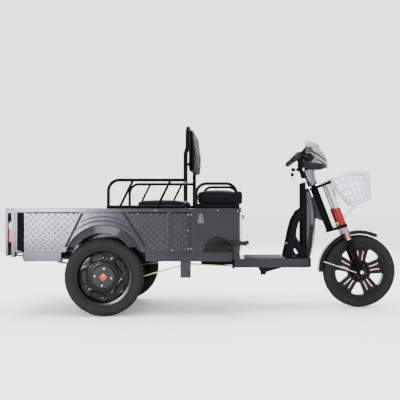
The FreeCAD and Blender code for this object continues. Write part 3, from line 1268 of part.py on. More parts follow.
def fork_covers():
    low = S.lower_crown + S.crown_height
    covers = []
    for side, sign in SIDES:
        y = S.fork_half * sign
        sleeve = rod("sleeve_" + side, "z", S.sleeve_radius, S.sleeve_top - low, 0, y, low)
        bore = rod("sleeve_bore_" + side, "z", S.stanchion_radius, S.sleeve_top, 0, y, low / 2)
        covers.append(cut("cover_" + side, sleeve, bore))
    return subpart(on_fork(group("ForkCovers", *covers)), "fork_covers")


def crown_plate(name, low):
    """Yoke that joins both fork legs to the steering stem."""
    rear, side, bevel = S.fork_offset + 28, S.fork_half + 24, 12
    corners = ((-rear, bevel), (-rear, -bevel), (-rear + bevel, -27), (-30, -side), (22, -side), (22, -side + 46),
               (-24, -40), (-24, 40), (22, side - 46), (22, side), (-30, side), (-rear + bevel, 27))
    plate = prism(name + "_plate", "z", corners, low, low + S.crown_height)
    holes = [rod(f"{name}_hole_{side_name}", "z", S.stanchion_radius, S.crown_height * 3, 0, S.fork_half * sign,
                 low - S.crown_height) for side_name, sign in SIDES]
    return plate, holes


def steering_stem():
    """Stem pressed into the lower crown."""
    plate, holes = crown_plate("low_crown", S.lower_crown)
    stem = rod("stem", "z", S.stem_radius, S.stem_top - S.lower_crown, -S.fork_offset, 0, S.lower_crown)
    return subpart(on_fork(cut("SteeringStem", fuse("stem_solid", plate, stem), *holes)), "steering_stem")


def upper_crown():
    """Upper yoke with the tongue that carries the basket and the horn."""
    plate, holes = crown_plate("top_crown", S.upper_crown)
    tongue_top = S.upper_crown + S.crown_height
    share = (tongue_top - S.basket_bottom) / float(S.basket_height)
    reach = S.basket_low_rear + (S.basket_high_rear - S.basket_low_rear) * float(share)
    tongue = box("basket_tongue", -30, reach - S.seat_gap, -55, 55, S.upper_crown, tongue_top)
    stem = rod("top_stem_hole", "z", S.stem_radius, S.stem_top, -S.fork_offset, 0, S.lower_crown)
    return subpart(on_fork(cut("UpperCrown", fuse("top_solid", plate, tongue), *holes, stem)), "upper_crown")


def front_fender():
    outer, half, wall = S.fender_radius, S.fender_half, S.fender_wall
    low, turn = outer - S.fender_skirt, S.fender_skirt / 3
    arch = turned("fender_arch", (
        (-half, low), (-half, outer - turn), (-half + turn, outer - 1), (half - turn, outer - 1, 0, outer),
        (half, outer - turn), (half, low), (half - wall, low), (half - wall, outer - turn - wall / 2),
        (half - turn, outer - 1 - wall), (-half + turn, outer - 1 - wall, 0, outer - wall),
        (-half + wall, outer - turn - wall / 2), (-half + wall, low)), S.fender_sweep)
    arch.Placement = Placement(vec(FRONT, 0, S.tyre_radius), Rotation(Vector(0, 1, 0), -float(S.fender_back)))
    stays = []
    for side, sign in SIDES:
        rear = (FRONT - outer + 25, (half - 1) * sign, S.tyre_radius + 65)
        eye = (FRONT - S.slider_radius - 8, (S.fork_half - S.slider_radius - 6) * sign, S.tyre_radius - 6)
        stays.append(bar("fender_stay_" + side, rear, eye, 3.5))
    return subpart(fuse("FrontFender", arch, *stays), "front_fender")


# Handlebar, controls and head cowl

BAR_MIDDLE = (22, 70, 0)
BAR_BEND = (-34, 180, 44)
BAR_TIP = (-76, 310, 30)
BAR_HEIGHT = 775


def bar_point(place_on_bar, sign):
    """World point of a place on the handlebar, given from the steering axis at bar height."""
    across, y, up = place_on_bar
    return fork_point(across - S.fork_offset, y * sign, up + BAR_HEIGHT)


def bar_run(sign):
    """Inner end of the straight hand run and its direction towards the tip."""
    bend, tip = bar_point(BAR_BEND, sign), bar_point(BAR_TIP, sign)
    return bend, (tip - bend).normalize()


def grip_rod(name, sign, radius, start, length):
    """Cylinder on the hand run of the handlebar, from a distance before its tip."""
    bend, heading = bar_run(sign)
    tip = bar_point(BAR_TIP, sign)
    first = tip - heading * float(start)
    return bar(name, tuple(first), tuple(first + heading * float(length)), radius)


def handlebar_tube(name, radius):
    points = [bar_point(BAR_TIP, -1), bar_point(BAR_BEND, -1), bar_point(BAR_MIDDLE, -1),
              bar_point(BAR_MIDDLE, 1), bar_point(BAR_BEND, 1), bar_point(BAR_TIP, 1)]
    return tube(name, [tuple(point) for point in points], radius, 60)


def handlebar():
    neck = on_fork(rod("neck", "z", S.neck_radius, 70, -S.fork_offset, 0, 640))
    clamp = on_fork(box("bar_clamp", -S.fork_offset + 4, -S.fork_offset + 38, -26, 26,
                        BAR_HEIGHT - 30, BAR_HEIGHT + 15))
    stem = on_fork(rod("bar_stem_room", "z", S.stem_radius, S.stem_top - 300, -S.fork_offset, 0, 300))
    perches = []
    for side, sign in SIDES:
        perches.append(grip_rod("perch_" + side, sign, S.grip_radius + 3, S.grip_length + 34, 22))
        pivot, heading, forward = lever_frame(sign)
        up = heading.cross(forward).normalize()
        perches.append(bar("lever_pin_" + side, tuple(pivot - up * 13), tuple(pivot + up * 13), S.hinge_pin_radius))
        for end, lift in (("low", -10.3), ("high", 10.3)):
            root = pivot - forward * float(S.grip_radius + 7) + up * lift
            perches.append(bar(f"lever_arm_{end}_{side}", tuple(root), tuple(pivot + up * lift), S.hinge_pin_radius))
    solid = fuse("bar_solid", handlebar_tube("bar_tube", S.bar_radius), clamp, *perches, refine=False)
    return subpart(group("Handlebar", cut("bar_weldment", solid, stem), cut("bar_neck", neck, on_fork(
        rod("neck_bore", "z", S.stem_radius, 200, -S.fork_offset, 0, 600)))), "handlebar")


def grip(name, sign, label, clearance):
    sleeve = grip_rod(name + "_sleeve", sign, S.grip_radius, S.grip_length, S.grip_length + 5)
    collar = grip_rod(name + "_collar", sign, S.grip_radius + 4, S.grip_length + 6, 8)
    bore = grip_rod(name + "_bore", sign, S.bar_radius + clearance, S.grip_length + 30, S.grip_length + 60)
    return subpart(cut(name, fuse(name + "_solid", sleeve, collar), bore), label)


def lever_frame(sign):
    """Pivot of a brake lever before its perch, with the hand run's heading and the forward normal."""
    bend, heading = bar_run(sign)
    tip = bar_point(BAR_TIP, sign)
    up = fork_point(0, 0, 1) - fork_point(0, 0, 0)
    forward = heading.cross(up).normalize()
    if forward.x < 0:
        forward = -forward
    return tip - heading * float(S.grip_length + 23) + forward * float(S.grip_radius + 20), heading, forward


def brake_lever(side, sign):
    pivot, heading, forward = lever_frame(sign)
    up = heading.cross(forward).normalize() * 7
    hub = bar("lever_hub_" + side, tuple(pivot - up), tuple(pivot + up), 9)
    knee = pivot + heading * 35 + forward * 14
    blade = tube("lever_blade_" + side, (tuple(pivot), tuple(knee), tuple(pivot + heading * 128 + forward * 8)),
                 S.lever_radius, 40)
    bore = bar("lever_bore_" + side, tuple(pivot - up * 3), tuple(pivot + up * 3), S.hinge_pin_radius + S.running_fit)
    return subpart(cut("BrakeLever_" + side, fuse("lever_solid_" + side, hub, blade), bore), "brake_lever_" + side)


# Head cowl profiles from the stem top: side view (forward, up), half width by height, half width by length
COWL_SIDE = ((-24, -43), (61, -50), (119, -44), (133, -3), (106, 47), (81, 82), (1, 87), (-24, 47))
COWL_FRONT = ((55, -50), (105, 2), (100, 47), (68, 88))
COWL_TOP = ((-24, 98), (50, 108), (106, 84), (133, 44))
COWL_ORIGIN = (FRONT - 336, S.tyre_radius + 698)
LENS_SIDE = ((133.4, -3), (142, 1), (114, 52), (87, 88), (81.3, 82.4), (106.4, 47.2))
SCREEN_SIDE = ((-6, 93.2), (2.5, 93.2), (2.5, 87.4), (79, 82.6), (82, 84), (73, 108), (-5, 133))
SCREEN_PLAN = ((-10, 70), (44, 64), (70, 40), (79.5, 0))
SCREEN_WALL = 3
DASH_SIDE = ((-24.3, -43), (-48, -40), (-48, 36), (-36, 58), (-2, 92.5), (1, 87.4), (-24.4, 47.6))
CONSOLE_SIDE = ((-48, -41), (-24.6, -41), (-24.6, -52), (-4, -110), (-26, -110))
CONSOLE_HALF = 36
LOCK_REAR = -60
KEY_HEIGHT = -54


def head(points):
    base_x, base_z = COWL_ORIGIN
    return [(base_x + x, base_z + z) for x, z in points]


def headlight_housing():
    base_x, base_z = COWL_ORIGIN
    wide = [(half, base_z + z) for half, z in COWL_FRONT]
    front = wide + [(-half, z) for half, z in reversed(wide)]
    long = [(base_x + x, half) for x, half in COWL_TOP]
    plan = long + [(x, -half) for x, half in reversed(long)]
    form = common("cowl_form", prism("cowl_side", "y", head(COWL_SIDE), -110, 110),
                  prism("cowl_front", "x", front, base_x - 40, base_x + 150),
                  prism("cowl_plan", "z", plan, base_z - 60, base_z + 100))
    cave = box("cowl_cave", base_x - 30, base_x + 92, -58, 58, base_z - 42, base_z + 66)
    stem = on_fork(rod("cowl_stem_room", "z", S.neck_radius, 120, -S.fork_offset, 0, 700))
    return subpart(cut("HeadlightHousing", form, cave, stem, handlebar_tube("cowl_bar_room", S.bar_radius)),
                   "headlight_housing")


def headlight_lens():
    return subpart(prism("HeadlightLens", "y", head(LENS_SIDE), -62, 62), "headlight_lens")


def windscreen():
    """Small tinted screen bent round the top of the cowl."""
    base_x, base_z = COWL_ORIGIN
    outer = [(base_x + x, half) for x, half in SCREEN_PLAN]
    inner = [(x - SCREEN_WALL, half - SCREEN_WALL if half else 0) for x, half in outer]
    band = (outer + [(x, -half) for x, half in reversed(outer[:-1])] +
            [(x, -half) for x, half in inner[:-1]] + inner[::-1])
    plan = prism("screen_plan", "z", band, base_z + 80, base_z + 140)
    side = prism("screen_side", "y", head(SCREEN_SIDE), -80, 80)
    return subpart(common("Windscreen", plan, side), "windscreen")


def dash_panel():
    """Rear cover of the cowl with the console and the ignition lock."""
    base_x, base_z = COWL_ORIGIN
    cover = prism("dash_cover", "y", head(DASH_SIDE), -70, 70)
    console = prism("console", "y", head(CONSOLE_SIDE), -CONSOLE_HALF, CONSOLE_HALF)
    lock = rod("lock_barrel", "x", 11, 22, base_x + LOCK_REAR, 0, base_z + KEY_HEIGHT)
    slot = rod("lock_bore", "x", 3 + S.running_fit, 14, base_x + LOCK_REAR - 1, 0, base_z + KEY_HEIGHT)
    room = handlebar_tube("dash_bar_room", S.bar_radius + 2)
    return subpart(cut("DashPanel", fuse("dash_solid", cover, console, lock), slot, room), "dash_panel")


def ignition_key():
    base_x, base_z = COWL_ORIGIN
    rear = base_x + LOCK_REAR
    shank = rod("key_shank", "x", 3, 22, rear - 12, 0, base_z + KEY_HEIGHT)
    bow = box("key_bow", rear - 34, rear - 10, -2, 2, base_z + KEY_HEIGHT - 11, base_z + KEY_HEIGHT + 11)
    return subpart(fuse("IgnitionKey", shank, bow), "ignition_key")


def horn():
    bell = rod("horn_bell", "x", 32, 10, 26, -20, 520)
    back = rod("horn_back", "x", 22, 18, 8, -20, 520)
    strap = box("horn_strap", 12, 16, -28, -12, 520, S.upper_crown)
    return subpart(on_fork(fuse("Horn", bell, back, strap)), "horn")


# Basket and its strut, drawn in the fork's frame

BASKET_ROWS = 5
BASKET_SIDE_COLUMNS = 7
BASKET_FACE_COLUMNS = 8
BASKET_WIRE = 5


def basket_tub(name, inset, low, high):
    """Tapered tub between two heights, its walls moved in by inset."""
    tall = float(S.basket_height)

    def rectangle(level):
        share = level / tall

        def between(first, last):
            return float(first) + (float(last) - float(first)) * share

        rear = between(S.basket_low_rear, S.basket_high_rear) + inset
        front = between(S.basket_low_front, S.basket_high_front) - inset
        half = between(S.basket_low_half, S.basket_high_half) - inset
        up = float(S.basket_bottom) + level
        return Part.makePolygon([Vector(rear, -half, up), Vector(front, -half, up), Vector(front, half, up),
                                 Vector(rear, half, up), Vector(rear, -half, up)])

    return shaped(name, Part.makeLoft([rectangle(low), rectangle(high)], True, True))


def basket():
    wall, tall, edge = float(S.basket_wall), float(S.basket_height), float(S.basket_rail)
    tub = cut("basket_tub", basket_tub("basket_outer", 0, 0, tall), basket_tub("basket_inner", wall, wall, tall + 5))
    base = float(S.basket_bottom)
    low_rear, low_front, low_half = float(S.basket_low_rear), float(S.basket_low_front), float(S.basket_low_half)
    row_step = (tall - 2 * edge) / BASKET_ROWS
    gaps = []

    def mesh(name, count, low, high):
        step = (high - low) / count
        return [(low + step * number + BASKET_WIRE / 2, low + step * (number + 1) - BASKET_WIRE / 2, f"{name}_{number}")
                for number in range(count)]

    for row in range(BASKET_ROWS):
        low = base + edge + row_step * row + BASKET_WIRE / 2
        high = low + row_step - BASKET_WIRE
        share = (low - base) / tall
        rear = low_rear + (float(S.basket_high_rear) - low_rear) * share + edge
        front = low_front + (float(S.basket_high_front) - low_front) * share - edge
        half = low_half + (float(S.basket_high_half) - low_half) * share - edge
        for start, end, name in mesh(f"side_gap_{row}", BASKET_SIDE_COLUMNS, rear, front):
            gaps.append(Part.makeBox(end - start, half * 4, high - low, Vector(start, -half * 2, low)))
        for start, end, name in mesh(f"face_gap_{row}", BASKET_FACE_COLUMNS, -half, half):
            gaps.append(Part.makeBox(600, end - start, high - low, Vector(-150, start, low)))
    for start, end, name in mesh("floor_gap", BASKET_SIDE_COLUMNS - 1, low_rear + edge, low_front - edge):
        for right, left, other in mesh("floor_row", BASKET_FACE_COLUMNS, -low_half + edge, low_half - edge):
            gaps.append(Part.makeBox(end - start, left - right, wall * 3, Vector(start, right, base - wall)))
    holes = shaped("basket_gaps", Part.makeCompound(gaps))
    walls = on_fork(cut("basket_walls", tub, holes))
    whole = on_fork(cut("basket_band_tub", basket_tub("basket_band_outer", 0, 0, tall),
                        basket_tub("basket_band_inner", wall, wall, tall + 5)))
    level = S.tyre_radius + S.basket_front_rim
    below = box("basket_below", 0, 1500, -500, 500, 0, level)
    band = box("basket_band", 0, 1500, -500, 500, level - edge, level)
    return subpart(fuse("Basket", common("basket_low", walls, below), common("basket_edge", whole, band)), "basket")


def basket_strut():
    """Two bent rods from the lower crown to the basket's floor."""
    floor = S.basket_bottom - S.seat_gap - 4
    struts = []
    for side, sign in SIDES:
        y = 50 * sign
        struts.append(tube("strut_" + side, (
            (float(S.basket_low_front) - 6, y, floor), (float(S.basket_low_rear) + 40, y, floor),
            (-26, y, S.lower_crown + S.crown_height + 4.2)), 4, 20))
    return subpart(on_fork(group("BasketStrut", *struts)), "basket_strut")


def build():
    chassis_frame()
    front_frame()
    bed_floor()
    for side, sign in SIDES:
        side_panel(side, sign)
    wheel_wells()
    fenders()
    tail_lights()
    tailgate()
    seat_box()
    battery_pack()
    motor_controller()
    cargo_rails()
    armrests()
    backrest_frame()
    backrest_cushion()
    seat_base()
    seat_cushion()
    passenger_cushion()
    footboard()
    floor_mat()
    leg_shield()
    knee_guard()
    brake_pedal()
    parking_brake_boot()
    parking_brake_lever()
    panel_hardware()
    brake_linkage()
    leaf_springs()
    axle_housing()
    drive_motor()
    for side, sign in SIDES:
        rear_wheel(side, sign)
    front_tyre()
    front_rim()
    front_axle()
    fork_sliders()
    fork_springs()
    fork_stanchions()
    fork_covers()
    steering_stem()
    upper_crown()
    front_fender()
    handlebar()
    grip("LeftGrip", 1, "left_grip", 0)
    grip("ThrottleGrip", -1, "throttle_grip", S.running_fit)
    for side, sign in SIDES:
        brake_lever(side, sign)
    headlight_housing()
    headlight_lens()
    windscreen()
    dash_panel()
    ignition_key()
    horn()
    basket()
    basket_strut()


def check():
    """Stops the build at any failed object or broken solid."""
    doc.recompute()
    failed = [f"{obj.Name} of {obj.InList[0].Name if obj.InList else 'the part'}" for obj in doc.Objects
              if "Invalid" in obj.State or "Error" in obj.State]
    broken = [piece.Label for piece in SUBPARTS
              if piece.Shape.isNull() or not piece.Shape.isValid() or not piece.Shape.Solids]
    if failed or broken:
        raise RuntimeError(f"failed to build: {failed}, no valid solid: {broken}")


def write():
    os.makedirs("parts", exist_ok=True)
    for piece in SUBPARTS:
        piece.Shape.exportStep(f"parts/{piece.Label}.step")


build()
check()
write()
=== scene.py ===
import math

import bmesh
import bpy
import numpy as np
from bpy.props import FloatProperty, FloatVectorProperty, IntProperty, PointerProperty
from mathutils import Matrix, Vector
from mathutils.bvhtree import BVHTree


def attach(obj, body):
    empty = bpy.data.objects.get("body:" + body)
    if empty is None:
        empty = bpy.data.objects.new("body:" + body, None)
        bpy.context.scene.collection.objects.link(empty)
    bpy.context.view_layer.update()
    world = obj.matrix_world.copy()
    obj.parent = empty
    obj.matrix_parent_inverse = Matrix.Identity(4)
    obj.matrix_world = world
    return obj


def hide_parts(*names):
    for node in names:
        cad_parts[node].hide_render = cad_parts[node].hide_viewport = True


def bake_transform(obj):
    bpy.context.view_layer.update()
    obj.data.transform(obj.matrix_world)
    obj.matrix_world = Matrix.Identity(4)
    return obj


bl_info = {
    "name": "Cargo Tricycle Dress",
    "version": (1, 0, 0),
    "blender": (4, 5, 0),
    "location": "3D View > Sidebar > Tricycle",
    "description": "Dresses the cargo tricycle with its tyres, seats, springs, trim and finishes",
    "category": "Object",
}

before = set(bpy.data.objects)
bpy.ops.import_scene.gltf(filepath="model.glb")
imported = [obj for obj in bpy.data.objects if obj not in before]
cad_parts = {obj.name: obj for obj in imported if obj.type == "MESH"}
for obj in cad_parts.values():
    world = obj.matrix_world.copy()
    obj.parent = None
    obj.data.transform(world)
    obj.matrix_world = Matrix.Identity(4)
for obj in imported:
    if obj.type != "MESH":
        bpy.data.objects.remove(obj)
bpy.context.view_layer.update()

# Shapes are worked out in millimetres: +X forward, +Y to the rider's left, +Z up
MM = 0.001
REAR_X, FRONT_X, AXLE_Z, TRACK = -605.0, 945.0, 230.0, 360.0
RAKE = math.radians(21)
FORK_SIDE = np.array((math.cos(RAKE), 0, math.sin(RAKE)))
FORK_UP = np.array((-math.sin(RAKE), 0, math.cos(RAKE)))
ACROSS = np.array((0.0, 1.0, 0.0))
STEER_OFFSET = -78.0
PANEL_Y = 390.0
SIDES = (("right", -1), ("left", 1))
SIGNS = (-1, 1)


class Value:
    """Output socket that takes part in arithmetic: each operation adds a Math node."""

    def __init__(self, finish, socket):
        self.finish = finish
        self.socket = socket

    def math(self, operation, first, second=0.0):
        return self.finish.node("ShaderNodeMath", {"operation": operation}, {0: first, 1: second})

    def __add__(self, other):
        return self.math("ADD", self, other)

    def __sub__(self, other):
        return self.math("SUBTRACT", self, other)

    def __rsub__(self, other):
        return self.math("SUBTRACT", other, self)

    def __mul__(self, other):
        return self.math("MULTIPLY", self, other)

    def __truediv__(self, other):
        return self.math("DIVIDE", self, other)

    def __gt__(self, other):
        return self.math("GREATER_THAN", self, other)

    def __lt__(self, other):
        return self.math("LESS_THAN", self, other)

    def __abs__(self):
        return self.math("ABSOLUTE", self)

    __radd__ = __add__


NEUTRAL = (0.5, 0.5, 0.5, 1.0)


class Finish:
    """Node tree of one material around a principled shader."""

    def __init__(self, name, constants):
        self.material = bpy.data.materials.new("finish_" + name)
        self.material.use_nodes = True
        self.tree = self.material.node_tree
        self.shader = self.tree.nodes["Principled BSDF"]
        for socket, value in constants.items():
            self.shader.inputs[socket].default_value = value
        self.material.diffuse_color = constants.get("Base Color", NEUTRAL)

    def node(self, kind, settings, values, output=0):
        """Adds a node: its settings first, then the values or links of its sockets."""
        made = self.tree.nodes.new(kind)
        for key, setting in settings.items():
            if key == "stops":
                self.set_stops(made.color_ramp, setting)
            else:
                setattr(made, key, setting)
        for socket, value in values.items():
            if isinstance(value, Value):
                self.tree.links.new(value.socket, made.inputs[socket])
            else:
                made.inputs[socket].default_value = value
        return Value(self, made.outputs[output])

    @staticmethod
    def set_stops(ramp, stops):
        while len(ramp.elements) < len(stops):
            ramp.elements.new(1.0)
        for element, (position, colour) in zip(ramp.elements, stops):
            element.position = position
            element.color = colour

    def place(self, scale=(1, 1, 1), turn=(0, 0, 0)):
        """The piece's own coordinates, stretched and turned."""
        own = self.node("ShaderNodeTexCoord", {}, {}, "Object")
        return self.node("ShaderNodeMapping", {}, {"Vector": own, "Scale": scale, "Rotation": turn})

    def axis(self, letter):
        own = self.node("ShaderNodeTexCoord", {}, {}, "Object")
        return self.node("ShaderNodeSeparateXYZ", {}, {"Vector": own}, letter)

    def noise(self, scale, detail=3.0, roughness=0.5, stretch=(1, 1, 1)):
        return self.node("ShaderNodeTexNoise", {}, {
            "Vector": self.place(stretch), "Scale": scale, "Detail": detail, "Roughness": roughness})

    def cells(self, scale, feature="F1", output="Distance"):
        return self.node("ShaderNodeTexVoronoi", {"feature": feature}, {
            "Vector": self.place(), "Scale": scale}, output)

    def blend(self, share, first, second):
        return self.node("ShaderNodeMix", {"data_type": "RGBA"}, {0: share, 6: first, 7: second}, 2)

    def tint(self, base, share, spread):
        """A colour that runs from darker to lighter by spread as share goes from 0 to 1."""
        dark = tuple(part * (1 - spread) for part in base[:3]) + (1,)
        light = tuple(min(1, part * (1 + spread)) for part in base[:3]) + (1,)
        return self.blend(share, dark, light)

    def feed(self, socket, value):
        self.tree.links.new(value.socket, self.shader.inputs[socket])

    def bump(self, height, distance, strength=1.0):
        self.feed("Normal", self.node("ShaderNodeBump", {}, {
            "Height": height, "Distance": distance, "Strength": strength}))


# Finishes of the vehicle's surfaces, each made once

def colour(values):
    return tuple(values[:3]) + (1.0,)


def lacquer(name, base, metallic, roughness, coat, flake, gloss=0.3, peel=0.00008):
    """Sprayed lacquer: fine flakes, broad clouds in the coat and a faint orange peel."""
    finish = Finish(name, {"Base Color": colour(base), "Metallic": metallic, "Coat Weight": coat,
                           "Coat Roughness": 0.12, "Specular IOR Level": gloss})
    clouds = finish.noise(5.0, 4.0)
    grains = finish.cells(1400.0, output="Color")
    sparkle = finish.node("ShaderNodeSeparateColor", {}, {"Color": grains})
    finish.feed("Base Color", finish.tint(base, clouds * 0.5 + sparkle * 0.5, flake))
    finish.feed("Roughness", roughness + (clouds - 0.5) * 0.12 + (sparkle - 0.5) * 0.08)
    finish.bump(finish.noise(260.0, 2.0) + sparkle * 0.15, peel)
    return finish.material


def body_paint(look):
    return lacquer("body_paint", look.paint, 0.8, 0.2, 0.04, 0.16)


# Painted highlight: body paint lightened twofold for the side panels' chequer bars, in place of the light
# that their raised faces catch
def bar_highlight_paint(look):
    return lacquer("bar_highlight_paint", [part * 2.0 for part in look.paint], 0.8, 0.22, 0.1, 0.1)


# Painted highlight: body paint lightened 2.6 times for the leg shield, in place of the light that the shield
# catches
def shield_highlight_paint(look):
    return lacquer("shield_highlight_paint", [part * 2.6 for part in look.paint], 0.8, 0.26, 0.06, 0.12)


UNDERSIDE = 0.268


def under_paint(look):
    """Body paint down to the boards' underside, and black enamel on the brackets below it."""
    finish = Finish("under_paint", {"Specular IOR Level": 0.2})
    above = finish.axis("Z") > UNDERSIDE
    clouds = finish.noise(5.0, 4.0)
    finish.feed("Base Color", finish.blend(above, colour(look.enamel), finish.tint(look.paint, clouds, 0.16)))
    finish.feed("Metallic", above * 0.8)
    finish.feed("Roughness", 0.26 - above * 0.05 + (clouds - 0.5) * 0.12)
    finish.bump(finish.noise(260.0, 2.0), 0.00008)
    return finish.material


# Painted shade: body paint darkened to half for the fender's turned edges, in place of the shade along them
def edge_shade_paint(look):
    return lacquer("edge_shade_paint", [part * 0.5 for part in look.paint], 0.5, 0.4, 0.0, 0.1, 0.02)


def tube_enamel(look):
    return lacquer("tube_enamel", look.enamel, 0.0, 0.24, 0.0, 0.1, 0.012, 0.00001)


def red_enamel(look):
    return lacquer("red_enamel", look.red, 0.0, 0.3, 0.0, 0.12, 0.15, 0.00002)


def silver_lacquer(look):
    return lacquer("silver_lacquer", look.silver, 0.7, 0.26, 0.2, 0.08)


def rim_enamel(look):
    return lacquer("rim_enamel", (0.002, 0.002, 0.0023), 0.0, 0.16, 0.0, 0.1, 0.12, 0.00002)


def moulded(name, base, roughness, grain=900.0, depth=0.00008, gloss=0.3):
    """Moulded plastic: an etched grain with slow changes of gloss."""
    finish = Finish(name, {"Base Color": colour(base), "Specular IOR Level": gloss})
    slow = finish.noise(9.0, 3.0)
    finish.feed("Base Color", finish.tint(base, slow, 0.16))
    finish.feed("Roughness", roughness + (slow - 0.5) * 0.16)
    finish.bump(finish.noise(grain, 2.0), depth)
    return finish.material


def black_plastic(look):
    return moulded("black_plastic", (0.005, 0.005, 0.0055), 0.5, gloss=0.0)


def gloss_plastic(look):
    return moulded("gloss_plastic", (0.003, 0.003, 0.0035), 0.2, 320.0, 0.00002, 0.09)


def basket_plastic(look):
    return moulded("basket_plastic", look.basket, 0.34, 500.0, 0.00004)


def battery_plastic(look):
    return moulded("battery_plastic", (0.05, 0.055, 0.07), 0.5)


def cream_plastic(look):
    return moulded("cream_plastic", (0.62, 0.55, 0.38), 0.35)


def hub_metal(look):
    return lacquer("hub_metal", (0.009, 0.0095, 0.01), 0.3, 0.38, 0.0, 0.2, 0.12)


def mark_paint(look):
    return moulded("mark_paint", look.mark, 0.4, 600.0, 0.00003)


def white_trim(look):
    return moulded("white_trim", (0.6, 0.59, 0.58), 0.35)


# Near-black moulded finish of the seams, the tail edging and the vent holes, and of the strips and plate of
# painted shade on the panels
def dark_trim_and_shade(look):
    return moulded("dark_trim_and_shade", (0.004, 0.004, 0.0045), 0.6, gloss=0.0)


def rubber(name, base, roughness):
    """Rubber: matt, with a bloom of dust and a pebbled skin."""
    finish = Finish(name, {"Base Color": colour(base), "Specular IOR Level": 0.05})
    bloom = finish.noise(22.0, 5.0, 0.6)
    finish.feed("Base Color", finish.tint(base, bloom, 0.35))
    finish.feed("Roughness", roughness + (bloom - 0.5) * 0.2)
    finish.bump(finish.noise(700.0, 3.0) + finish.noise(60.0, 2.0) * 0.5, 0.00016)
    return finish.material


def tyre_rubber(look):
    return rubber("tyre_rubber", look.tyre, 0.72)


def boot_rubber(look):
    return rubber("boot_rubber", (0.009, 0.0095, 0.008), 0.5)


def mat_rubber(look):
    return rubber("mat_rubber", (0.045, 0.045, 0.044), 0.7)


def vinyl(look):
    """Seat vinyl: a grain of small cells with creases between them, and a soft sheen."""
    finish = Finish("vinyl", {"Base Color": colour(look.vinyl), "Specular IOR Level": 0.006})
    grain = finish.cells(620.0, "DISTANCE_TO_EDGE")
    broad = finish.noise(14.0, 4.0, 0.55)
    crease = finish.node("ShaderNodeMath", {"operation": "MINIMUM"}, {0: grain * 6.0, 1: 0.5})
    finish.feed("Base Color", finish.tint(look.vinyl, broad, 0.25))
    finish.feed("Roughness", 0.54 + (broad - 0.5) * 0.2 - crease * 0.08)
    finish.bump(crease + broad * 0.3, 0.00035)
    return finish.material


def metal(name, base, roughness, stretch, depth):
    """Bare or plated metal with drawn streaks."""
    finish = Finish(name, {"Base Color": colour(base), "Metallic": 1.0})
    streaks = finish.noise(60.0, 4.0, 0.6, stretch)
    finish.feed("Base Color", finish.tint(base, streaks, 0.12))
    finish.feed("Roughness", roughness + (streaks - 0.5) * roughness)
    finish.bump(streaks, depth)
    return finish.material


def chrome(look):
    return metal("chrome", (0.42, 0.43, 0.44), 0.1, (1, 1, 6), 0.00001)


def zinc(look):
    return metal("zinc", (0.6, 0.56, 0.44), 0.32, (6, 1, 1), 0.00003)


def spring_steel(look):
    return metal("spring_steel", (0.06, 0.06, 0.065), 0.45, (1, 5, 1), 0.00003)


LATCH_LOW = 0.48


def latch_steel(look):
    """Plated latches at the top of the panels, and black painted fittings below them."""
    finish = Finish("latch_steel", {"Specular IOR Level": 0.05})
    latch = finish.axis("Z") > LATCH_LOW
    streaks = finish.noise(60.0, 4.0, 0.6, (1, 1, 5))
    finish.feed("Base Color", finish.blend(latch, (0.006, 0.006, 0.0065, 1), (0.075, 0.075, 0.08, 1)))
    finish.feed("Metallic", latch)
    finish.feed("Roughness", 0.36 - latch * 0.1 + (streaks - 0.5) * 0.15)
    finish.bump(streaks, 0.00002)
    return finish.material


def cast_metal(look):
    """Cast alloy: a sandy skin with dull and bright patches."""
    base = (0.3, 0.3, 0.31)
    finish = Finish("cast_metal", {"Base Color": colour(base), "Metallic": 0.9})
    sand = finish.noise(420.0, 4.0, 0.7)
    finish.feed("Base Color", finish.tint(base, finish.noise(18.0, 3.0), 0.25))
    finish.feed("Roughness", 0.42 + (sand - 0.5) * 0.25)
    finish.bump(sand, 0.0002)
    return finish.material


AXLE_POINT = (FRONT_X * MM, AXLE_Z * MM)
GUSSET_EDGE, GUSSET_LOW = -0.103, 0.42


def frame_coat(look):
    """Black enamel on the tubes; body paint on the gusset, which lies behind the head tube's rear edge."""
    finish = Finish("frame_coat", {"Specular IOR Level": 0.02})
    x, z = finish.axis("X") - AXLE_POINT[0], finish.axis("Z") - AXLE_POINT[1]
    behind = (x * math.cos(RAKE) + z * math.sin(RAKE)) < GUSSET_EDGE
    gusset = behind * (finish.axis("Z") > GUSSET_LOW)
    clouds = finish.noise(5.0, 4.0)
    finish.feed("Base Color", finish.blend(gusset, colour(look.enamel), colour(look.paint)))
    finish.feed("Metallic", gusset * 0.8)
    finish.feed("Roughness", 0.24 + gusset * 0.1 + (clouds - 0.5) * 0.1)
    finish.bump(finish.noise(260.0, 2.0), 0.00003)
    return finish.material


STAY_REACH = 0.2355


def fender_coat(look):
    """Gloss black shell, and plated stays, which lie nearer to the axle than the shell does."""
    finish = Finish("fender_coat", {"Specular IOR Level": 0.09})
    x, z = finish.axis("X") - AXLE_POINT[0], finish.axis("Z") - AXLE_POINT[1]
    stay = (x * x + z * z) < STAY_REACH ** 2
    slow = finish.noise(9.0, 3.0)
    finish.feed("Base Color", finish.blend(stay, (0.003, 0.003, 0.0035, 1), (0.42, 0.43, 0.44, 1)))
    finish.feed("Metallic", stay)
    finish.feed("Roughness", 0.2 + (slow - 0.5) * 0.12)
    finish.bump(finish.noise(320.0, 2.0), 0.00002)
    return finish.material


COWL_SPLIT, COWL_FALL, COWL_REAR = 0.922, 0.13, 0.585
# Upper border of the lamp field: its height at its rear end, where that is, and its fall to the front
BROW_Z, BROW_X, BROW_FALL, BROW_HALF, BROW_GAP = 0.986, 0.636, 0.64, 0.005, 0.03
LAMP_EDGE, LAMP_LEAN = 0.652, 0.35


